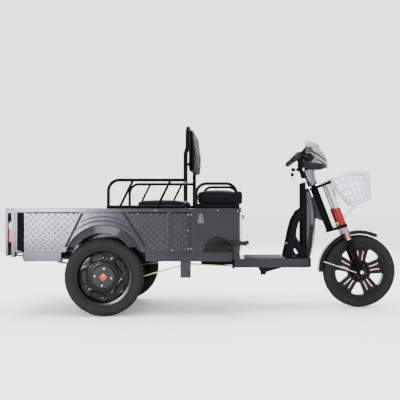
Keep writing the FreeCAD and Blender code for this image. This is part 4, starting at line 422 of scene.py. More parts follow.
def cowl_coat(look):
    """Silver upper shell with a black brow over the pale lamp field, and a dark lower shell below
    the crease, which falls to the front."""
    finish = Finish("cowl_coat", {"Coat Weight": 0.04, "Coat Roughness": 0.1, "Specular IOR Level": 0.1})
    x, z = finish.axis("X"), finish.axis("Z")
    upper = z > (COWL_SPLIT - (x - COWL_REAR) * COWL_FALL)
    clouds = finish.noise(7.0, 3.0)
    ahead = finish.node("ShaderNodeMath", {"operation": "MAXIMUM"}, {0: x - BROW_X, 1: 0.0})
    brow = BROW_Z - ahead * BROW_FALL
    lamp = (x - (BROW_Z - z) * LAMP_LEAN) > LAMP_EDGE
    second = brow - BROW_GAP
    stripes = (abs(z - brow) < BROW_HALF) + (abs(z - second) < BROW_HALF) * lamp
    black = (stripes + (z > brow) * (x < BROW_X)) > 0.5
    silver = finish.blend(lamp, finish.tint(look.silver, clouds, 0.1), (0.2, 0.205, 0.21, 1))
    shell = finish.blend(black, silver, (0.004, 0.004, 0.005, 1))
    finish.feed("Base Color", finish.blend(upper, (0.014, 0.014, 0.016, 1), shell))
    finish.feed("Metallic", (upper - black * upper) * 0.7)
    finish.feed("Roughness", 0.36 - upper * 0.1 + (clouds - 0.5) * 0.1)
    finish.bump(finish.noise(260.0, 2.0), 0.00003)
    return finish.material


def painted_metal(look):
    return lacquer("painted_metal", (0.008, 0.008, 0.009), 0.2, 0.45, 0.0, 0.3, 0.12)


ROD_ENDS = (-0.172, -0.105, 0.16)
WEDGE_REAR = 0.24


def linkage_metal(look):
    """Painted bracket plates, yellow passivated rods between and behind them, and the black pedal
    bracket in front."""
    finish = Finish("linkage_metal", {"Specular IOR Level": 0.05})
    x = finish.axis("X")
    rear, low, high = ROD_ENDS
    rod = (x < rear) + (x > low) * (x < high)
    streaks = finish.noise(60.0, 4.0, 0.6, (6, 1, 1))
    wedge = x > WEDGE_REAR
    plates = finish.blend(wedge, (0.024, 0.024, 0.027, 1), colour(look.enamel))
    finish.feed("Base Color", finish.blend(rod, plates, (0.42, 0.36, 0.2, 1)))
    finish.feed("Metallic", (1.0 - wedge) * 0.9)
    finish.feed("Roughness", 0.38 + (streaks - 0.5) * 0.2)
    finish.bump(streaks, 0.00003)
    return finish.material


def seat_board(look):
    """Pressed seat board with a coarse fibre."""
    base = (0.005, 0.005, 0.005)
    finish = Finish("seat_board", {"Base Color": colour(base), "Specular IOR Level": 0.01})
    fibre = finish.noise(160.0, 5.0, 0.7, (1, 6, 1))
    finish.feed("Base Color", finish.tint(base, fibre, 0.4))
    finish.feed("Roughness", 0.55 + (fibre - 0.5) * 0.2)
    finish.bump(fibre, 0.0002)
    return finish.material


LAMP_LOW, LAMP_HIGH = 0.431, 0.552


def lamp_lens(look):
    """Tail lamp: a clear upper field and a red lower one, with moulded ribs."""
    finish = Finish("lamp_lens", {"Base Color": colour(look.lamp), "Roughness": 0.14, "Coat Weight": 0.6,
                                  "Specular IOR Level": 0.6})
    height = (finish.axis("Z") - LAMP_LOW) / (LAMP_HIGH - LAMP_LOW)
    field = finish.node("ShaderNodeValToRGB", {"stops": (
        (0.0, (0.2, 0.004, 0.006, 1)), (0.6, (0.36, 0.01, 0.012, 1)), (0.72, (0.5, 0.26, 0.25, 1)),
        (0.86, (0.55, 0.52, 0.5, 1)), (0.94, (0.05, 0.045, 0.045, 1)))}, {0: height})
    ribs = finish.node("ShaderNodeTexWave", {"bands_direction": "Z"}, {
        "Vector": finish.place(), "Scale": 90.0})
    finish.feed("Base Color", field)
    finish.bump(ribs, 0.0006)
    return finish.material


def screen_sheet(look):
    """Smoked clear sheet, greyer towards its lower edge."""
    finish = Finish("screen_sheet", {"Base Color": colour(look.screen), "Roughness": 0.16, "Alpha": 0.8,
                                     "Specular IOR Level": 0.3})
    low = finish.node("ShaderNodeMapRange", {}, {0: finish.axis("Z"), 1: 1.0, 2: 1.06, 3: 0.0, 4: 1.0})
    finish.feed("Base Color", finish.blend(low, (0.2, 0.21, 0.2, 1), colour(look.screen)))
    return finish.material


def lamp_glass(look):
    """Headlamp front: pale, with upright flutes."""
    finish = Finish("lamp_glass", {"Base Color": (0.62, 0.66, 0.69, 1), "Roughness": 0.08, "Metallic": 0.35,
                                   "Coat Weight": 1.0, "Coat Roughness": 0.03})
    flutes = finish.node("ShaderNodeTexWave", {"bands_direction": "Y"}, {
        "Vector": finish.place(), "Scale": 42.0})
    finish.feed("Base Color", finish.blend(flutes, (0.4, 0.43, 0.47, 1), (0.85, 0.88, 0.9, 1)))
    finish.bump(flutes, 0.0008)
    return finish.material


def studio_floor(look):
    """Pale matt floor with a barely visible unevenness."""
    base = (0.9, 0.9, 0.9)
    finish = Finish("studio_floor", {"Base Color": colour(base), "Specular IOR Level": 0.2})
    finish.feed("Base Color", finish.tint(base, finish.noise(0.6, 2.0), 0.01))
    finish.feed("Roughness", 0.75 + finish.noise(3.0, 2.0) * 0.1)
    return finish.material


FINISHES = (
    body_paint, bar_highlight_paint, shield_highlight_paint, under_paint, edge_shade_paint, latch_steel, tube_enamel, red_enamel,
    silver_lacquer, rim_enamel, black_plastic, gloss_plastic, basket_plastic, battery_plastic,
    cream_plastic, hub_metal, mark_paint, white_trim, dark_trim_and_shade, tyre_rubber, boot_rubber, mat_rubber,
    vinyl, chrome, zinc, spring_steel, cast_metal, painted_metal, linkage_metal, frame_coat, fender_coat,
    cowl_coat, seat_board, lamp_lens, screen_sheet, lamp_glass, studio_floor,
)


def finish_of(name):
    """The finish of that name, made on first use."""
    if "finish_" + name not in bpy.data.materials:
        maker = next(item for item in FINISHES if item.__name__ == name)
        maker(bpy.context.scene.tricycle_look)
    return bpy.data.materials["finish_" + name]


# Curves and profiles

def unit(vectors):
    return vectors / np.linalg.norm(vectors, axis=-1, keepdims=True)


def on_fork(points):
    """Points (forward, left, up) in the fork's frame: origin at the front axle, up along the legs."""
    points = np.asarray(points, float)
    return (np.array((FRONT_X, 0, AXLE_Z)) + points[..., :1] * FORK_SIDE + points[..., 1:2] * ACROSS
            + points[..., 2:3] * FORK_UP)


def upright(outline, y):
    """Outline (x, z) stood along the vehicle at y."""
    outline = np.asarray(outline, float)
    return np.column_stack((outline[:, 0], np.full(len(outline), y), outline[:, 1]))


def facing(outline, x, z):
    """Outline (up, left) stood across the vehicle at x, about height z."""
    return np.column_stack((np.full(len(outline), x), outline[:, 1], outline[:, 0] + z))


def laid(outline, z):
    """Outline (x, y) laid flat at height z."""
    return np.column_stack((outline, np.full(len(outline), z)))


def arc(start, middle, end, count):
    """Circle through three plane points, from start to end: z = c + (start - c) exp(i t sweep)."""
    a, b, c = complex(*start), complex(*middle), complex(*end)
    w = (c - a) / (b - a)
    centre = (b - a) * (w - abs(w) ** 2) / (2j * w.imag) + a
    sweep = np.angle((c - centre) / (a - centre))
    if (np.angle((b - centre) / (a - centre)) - sweep) * np.sign(sweep) > 0 or \
            np.sign(np.angle((b - centre) / (a - centre))) != np.sign(sweep):
        sweep -= math.copysign(2 * math.pi, sweep)
    spots = centre + (a - centre) * np.exp(1j * np.linspace(0, 1, count) * sweep)
    return np.stack((spots.real, spots.imag), axis=-1)


def loop(half_u, half_v, corner, count=24):
    """Rounded rectangle as a closed ring, counter-clockwise: quarter circles round the four corners."""
    turn = np.linspace(0, math.pi / 2, count)
    quarters = []
    for number, (su, sv) in enumerate(((1, 1), (-1, 1), (-1, -1), (1, -1))):
        angle = turn + number * math.pi / 2
        quarters.append(np.stack((su * (half_u - corner) + corner * np.cos(angle),
                                  sv * (half_v - corner) + corner * np.sin(angle)), axis=-1))
    return np.concatenate(quarters)


def resampled(points, count, closed=False):
    """Points at equal distances along a run of straight lines."""
    points = np.asarray(points, float)
    if closed:
        points = np.concatenate((points, points[:1]))
    steps = np.concatenate(([0], np.cumsum(np.linalg.norm(np.diff(points, axis=0), axis=1))))
    spots = np.linspace(0, steps[-1], count, endpoint=not closed)
    return np.stack([np.interp(spots, steps, points[:, k]) for k in range(points.shape[1])], axis=-1)


def rounded(points, bend, count=8):
    """Open run of straight lines with each corner eased: a quadratic curve bend long on both sides of it."""
    points = np.asarray(points, float)
    runs = [points[:1]]
    share = np.linspace(0, 1, count)[:, None]
    for before, corner, after in zip(points, points[1:], points[2:]):
        entry = corner + unit(before - corner) * bend
        leave = corner + unit(after - corner) * bend
        runs.append((1 - share) ** 2 * entry + 2 * share * (1 - share) * corner + share ** 2 * leave)
    runs.append(points[-1:])
    return np.concatenate(runs)


def swept(path, profile, normal, closed=False):
    """Profile (side, up) carried along a path: path + side * (normal x heading) + up * (heading x side)."""
    path = np.asarray(path, float)
    if closed:
        heading = unit(np.roll(path, -1, axis=0) - np.roll(path, 1, axis=0))
    else:
        heading = unit(np.gradient(path, axis=0))
    side = unit(np.cross(np.broadcast_to(normal, heading.shape), heading))
    up = np.cross(heading, side)
    return path[:, None] + profile[None, :, :1] * side[:, None] + profile[None, :, 1:] * up[:, None]


def ring(radius, count=12, squash=1.0):
    """Circle, or an ellipse of that height, as a closed profile."""
    turn = np.linspace(0, 2 * math.pi, count, endpoint=False)
    return np.stack((radius * np.cos(turn), radius * squash * np.sin(turn)), axis=-1)


def turned(profile, count, origin, axis, start):
    """Profile (axial, radial) turned about an axis:
    origin + axial * axis + radial * (cos t start + sin t side)."""
    profile = np.asarray(profile, float)
    turn = np.linspace(0, 2 * math.pi, count, endpoint=False)
    axis, start = unit(np.asarray(axis, float)), unit(np.asarray(start, float))
    spokes = np.cos(turn)[:, None] * start + np.sin(turn)[:, None] * np.cross(axis, start)
    return np.asarray(origin, float) + profile[:, :1, None] * axis + profile[:, 1:, None] * spokes[None]


def eased(values, low, high):
    """Smooth step from 0 at low to 1 at high: 3 t^2 - 2 t^3."""
    t = np.clip((values - low) / (high - low), 0, 1)
    return t * t * (3 - 2 * t)


class Skin:
    """Grids of points in millimetres, gathered into one mesh."""

    def __init__(self):
        self.points = []
        self.faces = []
        self.total = 0

    def grid(self, points, wrap_u=False, wrap_v=False):
        """Quads between the neighbours of a grid; a wrapped side closes on itself."""
        rows, columns = points.shape[:2]
        first = np.arange(rows if wrap_u else rows - 1)
        second = np.arange(columns if wrap_v else columns - 1)
        a, b = np.meshgrid(first, second, indexing="ij")
        c, d = (a + 1) % rows, (b + 1) % columns
        quads = np.stack((a * columns + b, c * columns + b, c * columns + d, a * columns + d), axis=-1)
        self.faces += (quads.reshape(-1, 4) + self.total).tolist()
        self.points.append(points.reshape(-1, 3))
        self.total += rows * columns
        return self

    def tube(self, points):
        """Rings along the first side of a grid, with a face over each end."""
        first, columns = self.total, points.shape[1]
        self.grid(points, wrap_v=True)
        self.faces.append(list(range(first, first + columns)))
        self.faces.append(list(range(self.total - columns, self.total)))
        return self

    def shell(self, front, back):
        """Two open grids, joined all round their borders."""
        self.grid(front).grid(back)
        borders = [np.concatenate((part[0], part[1:, -1], part[-1, -2::-1], part[-2:0:-1, 0]))
                   for part in (front, back)]
        return self.grid(np.stack(borders), wrap_v=True)

    def repeat(self, form, offsets, frames):
        """The same small ringed form at each offset: points = offset + form . frame."""
        spots = offsets[:, None, None, :] + np.einsum("abj,njk->nabk", form, frames)
        for copy in spots:
            self.tube(copy)
        return self

    def mesh(self, name):
        made = bpy.data.meshes.new(name)
        made.from_pydata((np.concatenate(self.points) * MM).tolist(), [], self.faces)
        work = bmesh.new()
        work.from_mesh(made)
        bmesh.ops.remove_doubles(work, verts=work.verts, dist=1e-6)
        bmesh.ops.recalc_face_normals(work, faces=work.faces)
        work.to_mesh(made)
        work.free()
        return made

    def piece(self, name, finish, slot, body=None, sharp=40, replaced=()):
        """Makes the object, gives it its finish and fastens it to its body."""
        made = bpy.data.objects.new(name, self.mesh(name))
        bpy.context.scene.collection.objects.link(made)
        return dressed(made, finish, body, sharp, replaced)


def dressed(piece, finish, body, sharp, replaced):
    """Shades a piece, with edges over the angle sharp, and gives it finish, body and replaced nodes."""
    mesh = piece.data
    mesh.polygons.foreach_set("use_smooth", np.ones(len(mesh.polygons), bool))
    mesh.set_sharp_from_angle(angle=math.radians(sharp))
    mesh.materials.clear()
    mesh.materials.append(finish_of(finish))
    if body:
        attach(piece, body)
    if replaced:
        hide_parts(*replaced)
    return piece


def level_frames(count, axis):
    """Frames that lay a form's third axis along a direction, one for each of count places."""
    axis = unit(np.asarray(axis, float))
    first = unit(np.cross(axis, (0.0, 0.0, 1.0) if abs(axis[2]) < 0.9 else (1.0, 0.0, 0.0)))
    return np.broadcast_to(np.stack((first, np.cross(axis, first), axis)), (count, 3, 3))


def dome_form(radius, height, count=12):
    """Screw head: a skirt and a cap, as rings of (x, y, z) with z out of the surface."""
    levels = np.array(((1.0, -0.3), (1.0, 0.35), (0.86, 0.7), (0.55, 0.93), (0.15, 1.0)))
    turn = np.linspace(0, 2 * math.pi, count, endpoint=False)
    return np.stack((radius * levels[:, :1] * np.cos(turn), radius * levels[:, :1] * np.sin(turn),
                     height * levels[:, 1:] * np.ones(count)), axis=-1)


BAR_SIDES = 10


def bar_form(length, width, height):
    """Raised bar of chequer plate: four lens-shaped rings that grow smaller towards the top."""
    turn = np.linspace(0, 2 * math.pi, BAR_SIDES, endpoint=False)
    lens = 0.35 + 0.65 * np.abs(np.sin(turn))
    outline = np.column_stack((np.cos(turn) * length / 2, np.sin(turn) * width / 2 * lens))
    rings = ((1.0, -0.2), (1.0, 0.15), (0.72, 0.85), (0.4, 1.0))
    return np.stack([laid(outline * size, height * lift) for size, lift in rings])


# Softened copies of pressed and welded parts, so that their edges catch the light

SOFT_EDGES = (
    # node, finish, slot, body, edge radius
    ("seat_box", "body_paint", "body_grey", "chassis", 2.2),
    ("side_panel_right", "body_paint", "body_grey", "chassis", 2.2),
    ("side_panel_left", "body_paint", "body_grey", "chassis", 2.2),
    ("fenders", "body_paint", "body_grey", "chassis", 1.4),
    ("wheel_wells", "body_paint", "body_grey", "chassis", 1.4),
    ("chassis_frame", "under_paint", "chassis_black", "chassis", 1.5),
    ("tailgate", "body_paint", "body_grey", "tailgate", 1.8),
    ("footboard", "under_paint", "body_grey", "chassis", 1.4),
    ("knee_guard", "black_plastic", "black_plastic", "chassis", 3.0),
    ("seat_base", "seat_board", "base_board", "seat", 2.0),
    ("battery_pack", "battery_plastic", "battery_case", "chassis", 3.0),
    ("motor_controller", "cast_metal", "cast_alloy", "chassis", 1.0),
    ("tail_lights", "lamp_lens", "lamp_red", "chassis", 3.0),
    ("steering_stem", "tube_enamel", "frame_black", "steering", 1.5),
    ("upper_crown", "tube_enamel", "frame_black", "steering", 1.5),
    ("dash_panel", "black_plastic", "black_plastic", "steering", 2.0),
    ("front_rim", "rim_enamel", "front_rim_dark", "front_wheel", 2.0),
    ("brake_pedal", "painted_metal", "chassis_black", "pedal", 1.2),
    ("panel_hardware", "latch_steel", "steel", "chassis", 0.8),
    ("drive_motor", "cast_metal", "cast_alloy", "rear_axle", 2.0),
)

# Finishes of the nodes that show as they are
PLAIN_NODES = {
    "front_frame": "frame_coat", "bed_floor": "body_paint", "cargo_rails": "tube_enamel",
    "armrests": "tube_enamel", "backrest_frame": "tube_enamel", "leg_shield": "shield_highlight_paint",
    "brake_linkage": "linkage_metal", "axle_housing": "painted_metal", "rear_hub_right": "hub_metal",
    "rear_hub_left": "hub_metal", "fork_stanchions": "chrome", "fork_covers": "red_enamel",
    "handlebar": "tube_enamel", "basket_strut": "chrome", "brake_lever_right": "black_plastic",
    "brake_lever_left": "black_plastic", "ignition_key": "black_plastic", "fork_sliders": "tube_enamel",
    "front_fender": "fender_coat", "front_axle": "chrome", "parking_brake_lever": "boot_rubber",
}


def soft_copy(node, width):
    """Copy of a node's solid with its corners merged, flat faces joined and edges rounded by width."""
    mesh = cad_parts[node].data.copy()
    mesh.name = node + "_soft"
    work = bmesh.new()
    work.from_mesh(mesh)
    bmesh.ops.remove_doubles(work, verts=work.verts, dist=2e-6)
    bmesh.ops.dissolve_limit(work, angle_limit=math.radians(1.0), verts=work.verts, edges=work.edges)
    bmesh.ops.recalc_face_normals(work, faces=work.faces)
    work.to_mesh(mesh)
    work.free()
    if mesh.has_custom_normals:
        mesh.attributes.remove(mesh.attributes["custom_normal"])
    piece = bpy.data.objects.new(node + "_soft", mesh)
    bpy.context.scene.collection.objects.link(piece)
    bevel = piece.modifiers.new("edge", "BEVEL")
    bevel.width = width * MM
    bevel.segments = 2
    bevel.limit_method = "ANGLE"
    bevel.angle_limit = math.radians(35)
    bevel.use_clamp_overlap = True
    bevel.harden_normals = True
    return piece


class TRICYCLE_OT_frame(bpy.types.Operator):
    """Finish the frame, the panels and the other rigid parts, with softened edges where sheet is folded"""

    bl_idname = "tricycle.frame"
    bl_label = "Frame and Panels"

    def execute(self, context):
        for node, finish in PLAIN_NODES.items():
            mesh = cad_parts[node].data
            mesh.materials.clear()
            mesh.materials.append(finish_of(finish))
        for node, finish, slot, body, width in SOFT_EDGES:
            dressed(soft_copy(node, width), finish, body, 40, (node,))
        return {"FINISHED"}


# Chequer plate, beads and small hardware of the panels

CHEQUER_ZONES = ((-1054.0, -742.0), (-462.0, -112.0))
CHEQUER_LOW, CHEQUER_HIGH = 386.0, 598.0
FENDER_CORNERS = ((-225.0, 405.0), (250.0, 405.0), (123.0, 602.0), (-127.0, 602.0))
ARCH_Z, ARCH_RADIUS = 305.0, 228.0
RIB_X, RIB_HALF = -221.0, 12.0
PLATE_MARGIN = 11.0
# Bed floor: rear, front, right and left border of its bars, their height, and how much larger they are
FLOOR_ZONE, FLOOR_Z, FLOOR_STRETCH = (-1100.0, -112.0, -280.0, 280.0), 377.0, (1.3, 1.3, 1.0)


def under_fender(x, z):
    """True where a point lies on the raised fender plate or in its arch, with a margin."""
    corners = np.array(FENDER_CORNERS) + (REAR_X, 0)
    inside = np.ones(len(x), bool)
    for (ax, az), (bx, bz) in zip(corners, np.roll(corners, -1, axis=0)):
        distance = ((bx - ax) * (z - az) - (bz - az) * (x - ax)) / math.hypot(bx - ax, bz - az)
        inside &= distance > -PLATE_MARGIN
    return inside | (np.hypot(x - REAR_X, z - ARCH_Z) < ARCH_RADIUS + PLATE_MARGIN)


def chequer_places(x_low, x_high, z_low, z_high, pitch):
    """Two square lattices, the second half a pitch further both ways, with bars a quarter turn apart."""
    spots = []
    for shift, turn in ((0.25, math.pi / 4), (0.75, -math.pi / 4)):
        x, z = np.meshgrid(np.arange(x_low + pitch * shift, x_high, pitch),
                           np.arange(z_low + pitch * shift, z_high, pitch))
        spots.append(np.stack((x.ravel(), z.ravel(), np.full(x.size, turn))))
    return np.concatenate(spots, axis=1)


class TRICYCLE_OT_chequer(bpy.types.Operator):
    """Raise the chequer bars on the side panels, their paint lightened as a painted highlight, and on the bed
    floor
    """

    bl_idname = "tricycle.chequer"
    bl_label = "Chequer Plate"

    def execute(self, context):
        look = context.scene.tricycle_look
        form = bar_form(look.bar_length, look.bar_width, look.bar_height)
        for side, sign in SIDES:
            skin = Skin()
            for low, high in CHEQUER_ZONES:
                x, z, turn = chequer_places(low, high, CHEQUER_LOW, CHEQUER_HIGH, look.bar_pitch)
                keep = ~under_fender(x, z) & (np.abs(x - RIB_X) > RIB_HALF + PLATE_MARGIN)
                x, z, turn = x[keep], z[keep], turn[keep]
                cosine, sine, none = np.cos(turn), np.sin(turn), np.zeros(len(turn))
                frames = np.stack((np.stack((cosine, none, sine), -1), np.stack((-sine, none, cosine), -1),
                                   np.stack((none, none + sign, none), -1)), axis=1)
                skin.repeat(form, upright(np.column_stack((x, z)), sign * PANEL_Y), frames)
            # Painted highlight: the side panels' bars take the lightened body paint
            skin.piece(f"chequer_{side}", "bar_highlight_paint", "body_grey", "chassis", 50)
        skin = Skin()
        x, y, turn = chequer_places(*FLOOR_ZONE, look.floor_pitch)
        cosine, sine, none = np.cos(turn), np.sin(turn), np.zeros(len(turn))
        frames = np.stack((np.stack((cosine, sine, none), -1), np.stack((-sine, cosine, none), -1),
                           np.stack((none, none, none + 1), -1)), axis=1)
        skin.repeat(form * FLOOR_STRETCH, laid(np.column_stack((x, y)), FLOOR_Z), frames)
        skin.piece("chequer_floor", "body_paint", "body_grey", "chassis", 50)
        return {"FINISHED"}


BEADS = (
    # radius, first and last angle, half width
    (252.0, 50, 130, 4.5), (276.0, 62, 118, 3.5),
)
BEAD_FACE, BEAD_STEPS = 396.0, 48
PANEL_BOLTS = (
    # along the vehicle, height, radius
    (-112.0, 592.0, 5.0), (-112.0, 500.0, 4.0), (-112.0, 395.0, 4.0), (-205.0, 386.0, 5.0),
    (-405.0, 598.0, 4.5), (-94.0, 592.0, 5.0), (-94.0, 395.0, 4.0), (176.0, 612.0, 4.5),
    (-1090.0, 388.0, 5.0), (-1150.0, 612.0, 4.5), (-740.0, 617.0, 4.5), (-300.0, 617.0, 4.5),
    (60.0, 617.0, 4.5),
)
# Bolts above the rim's foot stand on the rim's face, the others on the panel
RIM_FOOT, RIM_FACE = 606.0, 393.0
SEAM_X, SEAM_LOW, SEAM_HIGH, SEAM_RADIUS = -102.0, 379.0, 605.0, 1.6
# Dark strips of painted shade under the rim along the chequer zones: their height and radius
SHADE_Z, SHADE_RADIUS = 602.0, 3.0
# Turned edges of the fender, darkened as painted shade: foot and head from the axle, and width along the
# vehicle
FENDER_EDGES = (((-225.0, 405.0), (-127.0, 602.0), 17.0), ((250.0, 405.0), (123.0, 602.0), -12.0))
EDGE_FACE, EDGE_DEPTH = 398.0, 6.0
# Dark plate of painted shade at the tail corner, between the corner post and the rear chequer zone: its
# outline, and its faces
TAIL_SHADE = ((-1104.0, 384.0), (-1062.0, 384.0), (-1062.0, 604.0), (-1104.0, 604.0))
TAIL_SHADE_FACES = (389.5, 390.8)
TAIL_EDGING = ((-1098.0, 603.0), (-1098.0, 384.0), (-1062.0, 381.0))
EDGING_BEND, EDGING_RADIUS = 26.0, 5.5


class TRICYCLE_OT_trim(bpy.types.Operator):
    """Add the fender beads and turned edges, the edges in painted shade, panel seams, dark strips and a plate
    of painted shade under the rim and at the tail corner, bolt heads and the tail corner edging
    """

    bl_idname = "tricycle.trim"
    bl_label = "Panel Trim"

    def execute(self, context):
        beads, seams_and_shade, bolts, edges = Skin(), Skin(), Skin(), Skin()
        for sign in SIGNS:
            normal = np.array((0.0, sign, 0.0))
            for radius, low, high, width in BEADS:
                angle = np.radians(np.linspace(low, high, BEAD_STEPS))
                bead = np.column_stack((np.cos(angle), np.sin(angle))) * radius + (REAR_X, ARCH_Z)
                beads.tube(swept(upright(bead, sign * BEAD_FACE), ring(width, 12, 0.6), normal))
            seam = upright(((SEAM_X, SEAM_LOW), (SEAM_X, SEAM_HIGH)), sign * PANEL_Y)
            seams_and_shade.tube(swept(resampled(seam, 8), ring(SEAM_RADIUS, 8, 0.5), normal))
            # Painted shade: dark strips under the rim along each chequer zone
            for low, high in CHEQUER_ZONES:
                shade = upright(((low, SHADE_Z), (high, SHADE_Z)), sign * PANEL_Y)
                seams_and_shade.tube(swept(resampled(shade, 8), ring(SHADE_RADIUS, 8, 0.4), normal))
            for low, high, lean in FENDER_EDGES:
                corners = np.array((low, high, (high[0] + lean, high[1]), (low[0] + lean, low[1])))
                edges.tube(np.stack([upright(corners + (REAR_X, 0), sign * y)
                                     for y in (EDGE_FACE - EDGE_DEPTH, EDGE_FACE)]))
            # Painted shade: a dark plate at the tail corner
            seams_and_shade.tube(np.stack([upright(TAIL_SHADE, sign * y) for y in TAIL_SHADE_FACES]))
            edging = rounded(upright(TAIL_EDGING, sign * PANEL_Y), EDGING_BEND)
            seams_and_shade.tube(swept(resampled(edging, 40), ring(EDGING_RADIUS, 10, 0.55), normal))
            for x, z, radius in PANEL_BOLTS:
                spot = upright(((x, z),), sign * (RIM_FACE if z > RIM_FOOT else PANEL_Y))
                bolts.repeat(dome_form(radius * 0.7, radius * 0.5), spot, level_frames(1, normal))
        beads.piece("fender_beads", "body_paint", "body_grey", "chassis")
        # Painted shade: the turned edges take the darkened body paint
        edges.piece("fender_edges", "edge_shade_paint", "body_grey", "chassis")
        seams_and_shade.piece("panel_seams_and_shade", "dark_trim_and_shade", "black_plastic", "chassis")
        bolts.piece("panel_bolts", "cast_metal", "chrome", "chassis")
        return {"FINISHED"}


VENT_ROWS = np.arange(400.0, 590.0, 17.0)
VENT_COLUMNS = np.arange(-320.0, 321.0, 40.0)
VENT_RADIUS, VENT_RISE = 4.6, 0.6
COVER_X = 198.0
# Plate on the front: half height, half width, corner, height of its middle, and its levels before the box
PLATE_SIZE, PLATE_Z, PLATE_LEVELS = (105.0, 352.0, 14.0), 498.0, (-0.3, 1.2, 1.6)
# Strips at the sides: half height, half width, corner, place of the middle, and levels from the middle plane
STRIP_SIZE, STRIP_MIDDLE, STRIP_LEVELS = (111.0, 6.0, 3.0), (194.6, 495.0), (362.0, 386.0, 387.5)
STRIP_VENT_X, STRIP_VENT_RADIUS = 194.8, 3.6
LOCK_PROFILE, LOCK_PLACE = ((-2, 13), (9, 13), (13, 10), (13.5, 0.1)), (COVER_X, -334.0, 578.0)


class TRICYCLE_OT_vents(bpy.types.Operator):
    """Lay the pale vent plate with its rows of round vents on the front of the seat box"""

    bl_idname = "tricycle.vents"
    bl_label = "Seat Box Vents"

    def execute(self, context):
        outline = loop(*PLATE_SIZE, 8)
        plate = np.stack([facing(outline, COVER_X + level, PLATE_Z) for level in PLATE_LEVELS])
        plate[2, :, 1:] = (plate[2, :, 1:] - (0, PLATE_Z)) * 0.996 + (0, PLATE_Z)
        Skin().tube(plate).piece("vent_plate", "white_trim", "body_grey", "chassis")
        y, z = (grid.ravel() for grid in np.meshgrid(VENT_COLUMNS, VENT_ROWS))
        spots = np.stack((np.full(len(y), COVER_X + 1.4), y, z), -1)
        holes, strips = Skin(), Skin()
        holes.repeat(dome_form(VENT_RADIUS, VENT_RISE, 10), spots, level_frames(len(y), (1, 0, 0)))
        strip = loop(*STRIP_SIZE, 5)[:, ::-1] + STRIP_MIDDLE
        row = np.column_stack((np.full(len(VENT_ROWS), STRIP_VENT_X), VENT_ROWS))
        for sign in SIGNS:
            strips.tube(np.stack([upright(strip, sign * level) for level in STRIP_LEVELS]))
            holes.repeat(dome_form(STRIP_VENT_RADIUS, VENT_RISE, 10), upright(row, sign * STRIP_LEVELS[-1]),
                         level_frames(len(row), (0, sign, 0)))
        strips.piece("vent_strips", "white_trim", "body_grey", "chassis")
        holes.piece("vent_holes", "dark_trim_and_shade", "black_plastic", "chassis")
        knob = turned(LOCK_PROFILE, 24, LOCK_PLACE, (1, 0, 0), (0, 1, 0))
        Skin().tube(knob).piece("lock_knob", "black_plastic", "black_plastic", "chassis")
        return {"FINISHED"}


# Wheels

# Half width of the tyre and radius of the rim's flange
REAR_TYRE, FRONT_TYRE = (40.0, 171.0), (35.0, 178.0)
LIP_GAP, LIP_SHARE = 1.3, 0.86
SHOULDER_DROP, SHOULDER_SHARE = 8.0, 0.82
TYRE_SEAT_STEP, TYRE_SEAT_RADIUS = 12.3, 157.0
# The tread's foot and its full depth, below the crown
TREAD_FOOT, TREAD_FULL = 21.0, 16.0
WALL_RINGS, WALL_DEPTH = 5, 0.7


def tyre_section(half, flange):
    """Outer tyre section as (axial, radial): lip, side wall, crown, side wall, lip and bead seat."""
    lip, shoulder = flange + LIP_GAP, AXLE_Z - SHOULDER_DROP
    belly, seat, edge = (lip + AXLE_Z) / 2, half - TYRE_SEAT_STEP, half * SHOULDER_SHARE
    wall = arc((half * LIP_SHARE, lip), (half, belly), (edge, shoulder), 26)
    crown = arc((edge, shoulder), (0, AXLE_Z), (-edge, shoulder), 44)
    mirrored = wall[::-1] * (-1, 1)
    bead = np.array(((-seat, lip), (-seat, TYRE_SEAT_RADIUS), (seat, TYRE_SEAT_RADIUS), (seat, lip)))
    return np.concatenate((wall, crown[1:-1], mirrored, bead))


def tyre_skin(half, flange, blocks, depth, centre):
    """Tyre whose section is drawn in towards its middle where a groove runs: two zigzag grooves round
    the crown, slanted slots over the shoulders, and fine rings on the side walls."""
    section = tyre_section(half, flange)
    belly = (flange + LIP_GAP + AXLE_Z) / 2
    turn = np.linspace(0, 2 * math.pi, blocks * 8, endpoint=False)
    axial, radial = section[None, :, 0], section[None, :, 1]
    phase = (turn[:, None] * blocks / (2 * math.pi)) % 1.0
    zigzag = np.abs(phase - 0.5) * 4 - 1
    inner = np.abs(np.abs(axial) - half * 0.3 - zigzag * half * 0.05)
    round_groove = 1 - eased(inner, half * 0.035, half * 0.075)
    slot_phase = np.abs((phase + np.sign(axial) * 0.25 + np.abs(axial) / half * 0.55) % 1.0 - 0.5)
    slot = (1 - eased(slot_phase, 0.09, 0.17)) * eased(np.abs(axial), half * 0.42, half * 0.5)
    tread = eased(radial, AXLE_Z - TREAD_FOOT, AXLE_Z - TREAD_FULL)
    rise = (radial - flange) / (AXLE_Z - TREAD_FOOT - flange)
    rings = 0.5 - 0.5 * np.cos(rise * 2 * math.pi * WALL_RINGS)
    wall = (1 - tread) * eased(radial, flange + 4, flange + 7)
    cut = depth * tread * np.maximum(round_groove, slot) + WALL_DEPTH * wall * rings
    size = np.hypot(axial, radial - belly)
    share = 1 - cut / np.maximum(size, 1.0)
    a, r = axial * share, belly + (radial - belly) * share
    points = np.stack((centre[0] + r * np.cos(turn)[:, None], centre[1] + a + 0 * r,
                       centre[2] + r * np.sin(turn)[:, None]), -1)
    return Skin().grid(points, wrap_u=True, wrap_v=True)


RIM_PRESSINGS = 5
# Pockets of the pressed disc: radius of their middles, half height, half width, depth and height of their lip
POCKET_RADIUS, POCKET_HIGH, POCKET_WIDE, POCKET_DEPTH, POCKET_LIP = 118.0, 23.0, 54.0, 8.0, 1.6


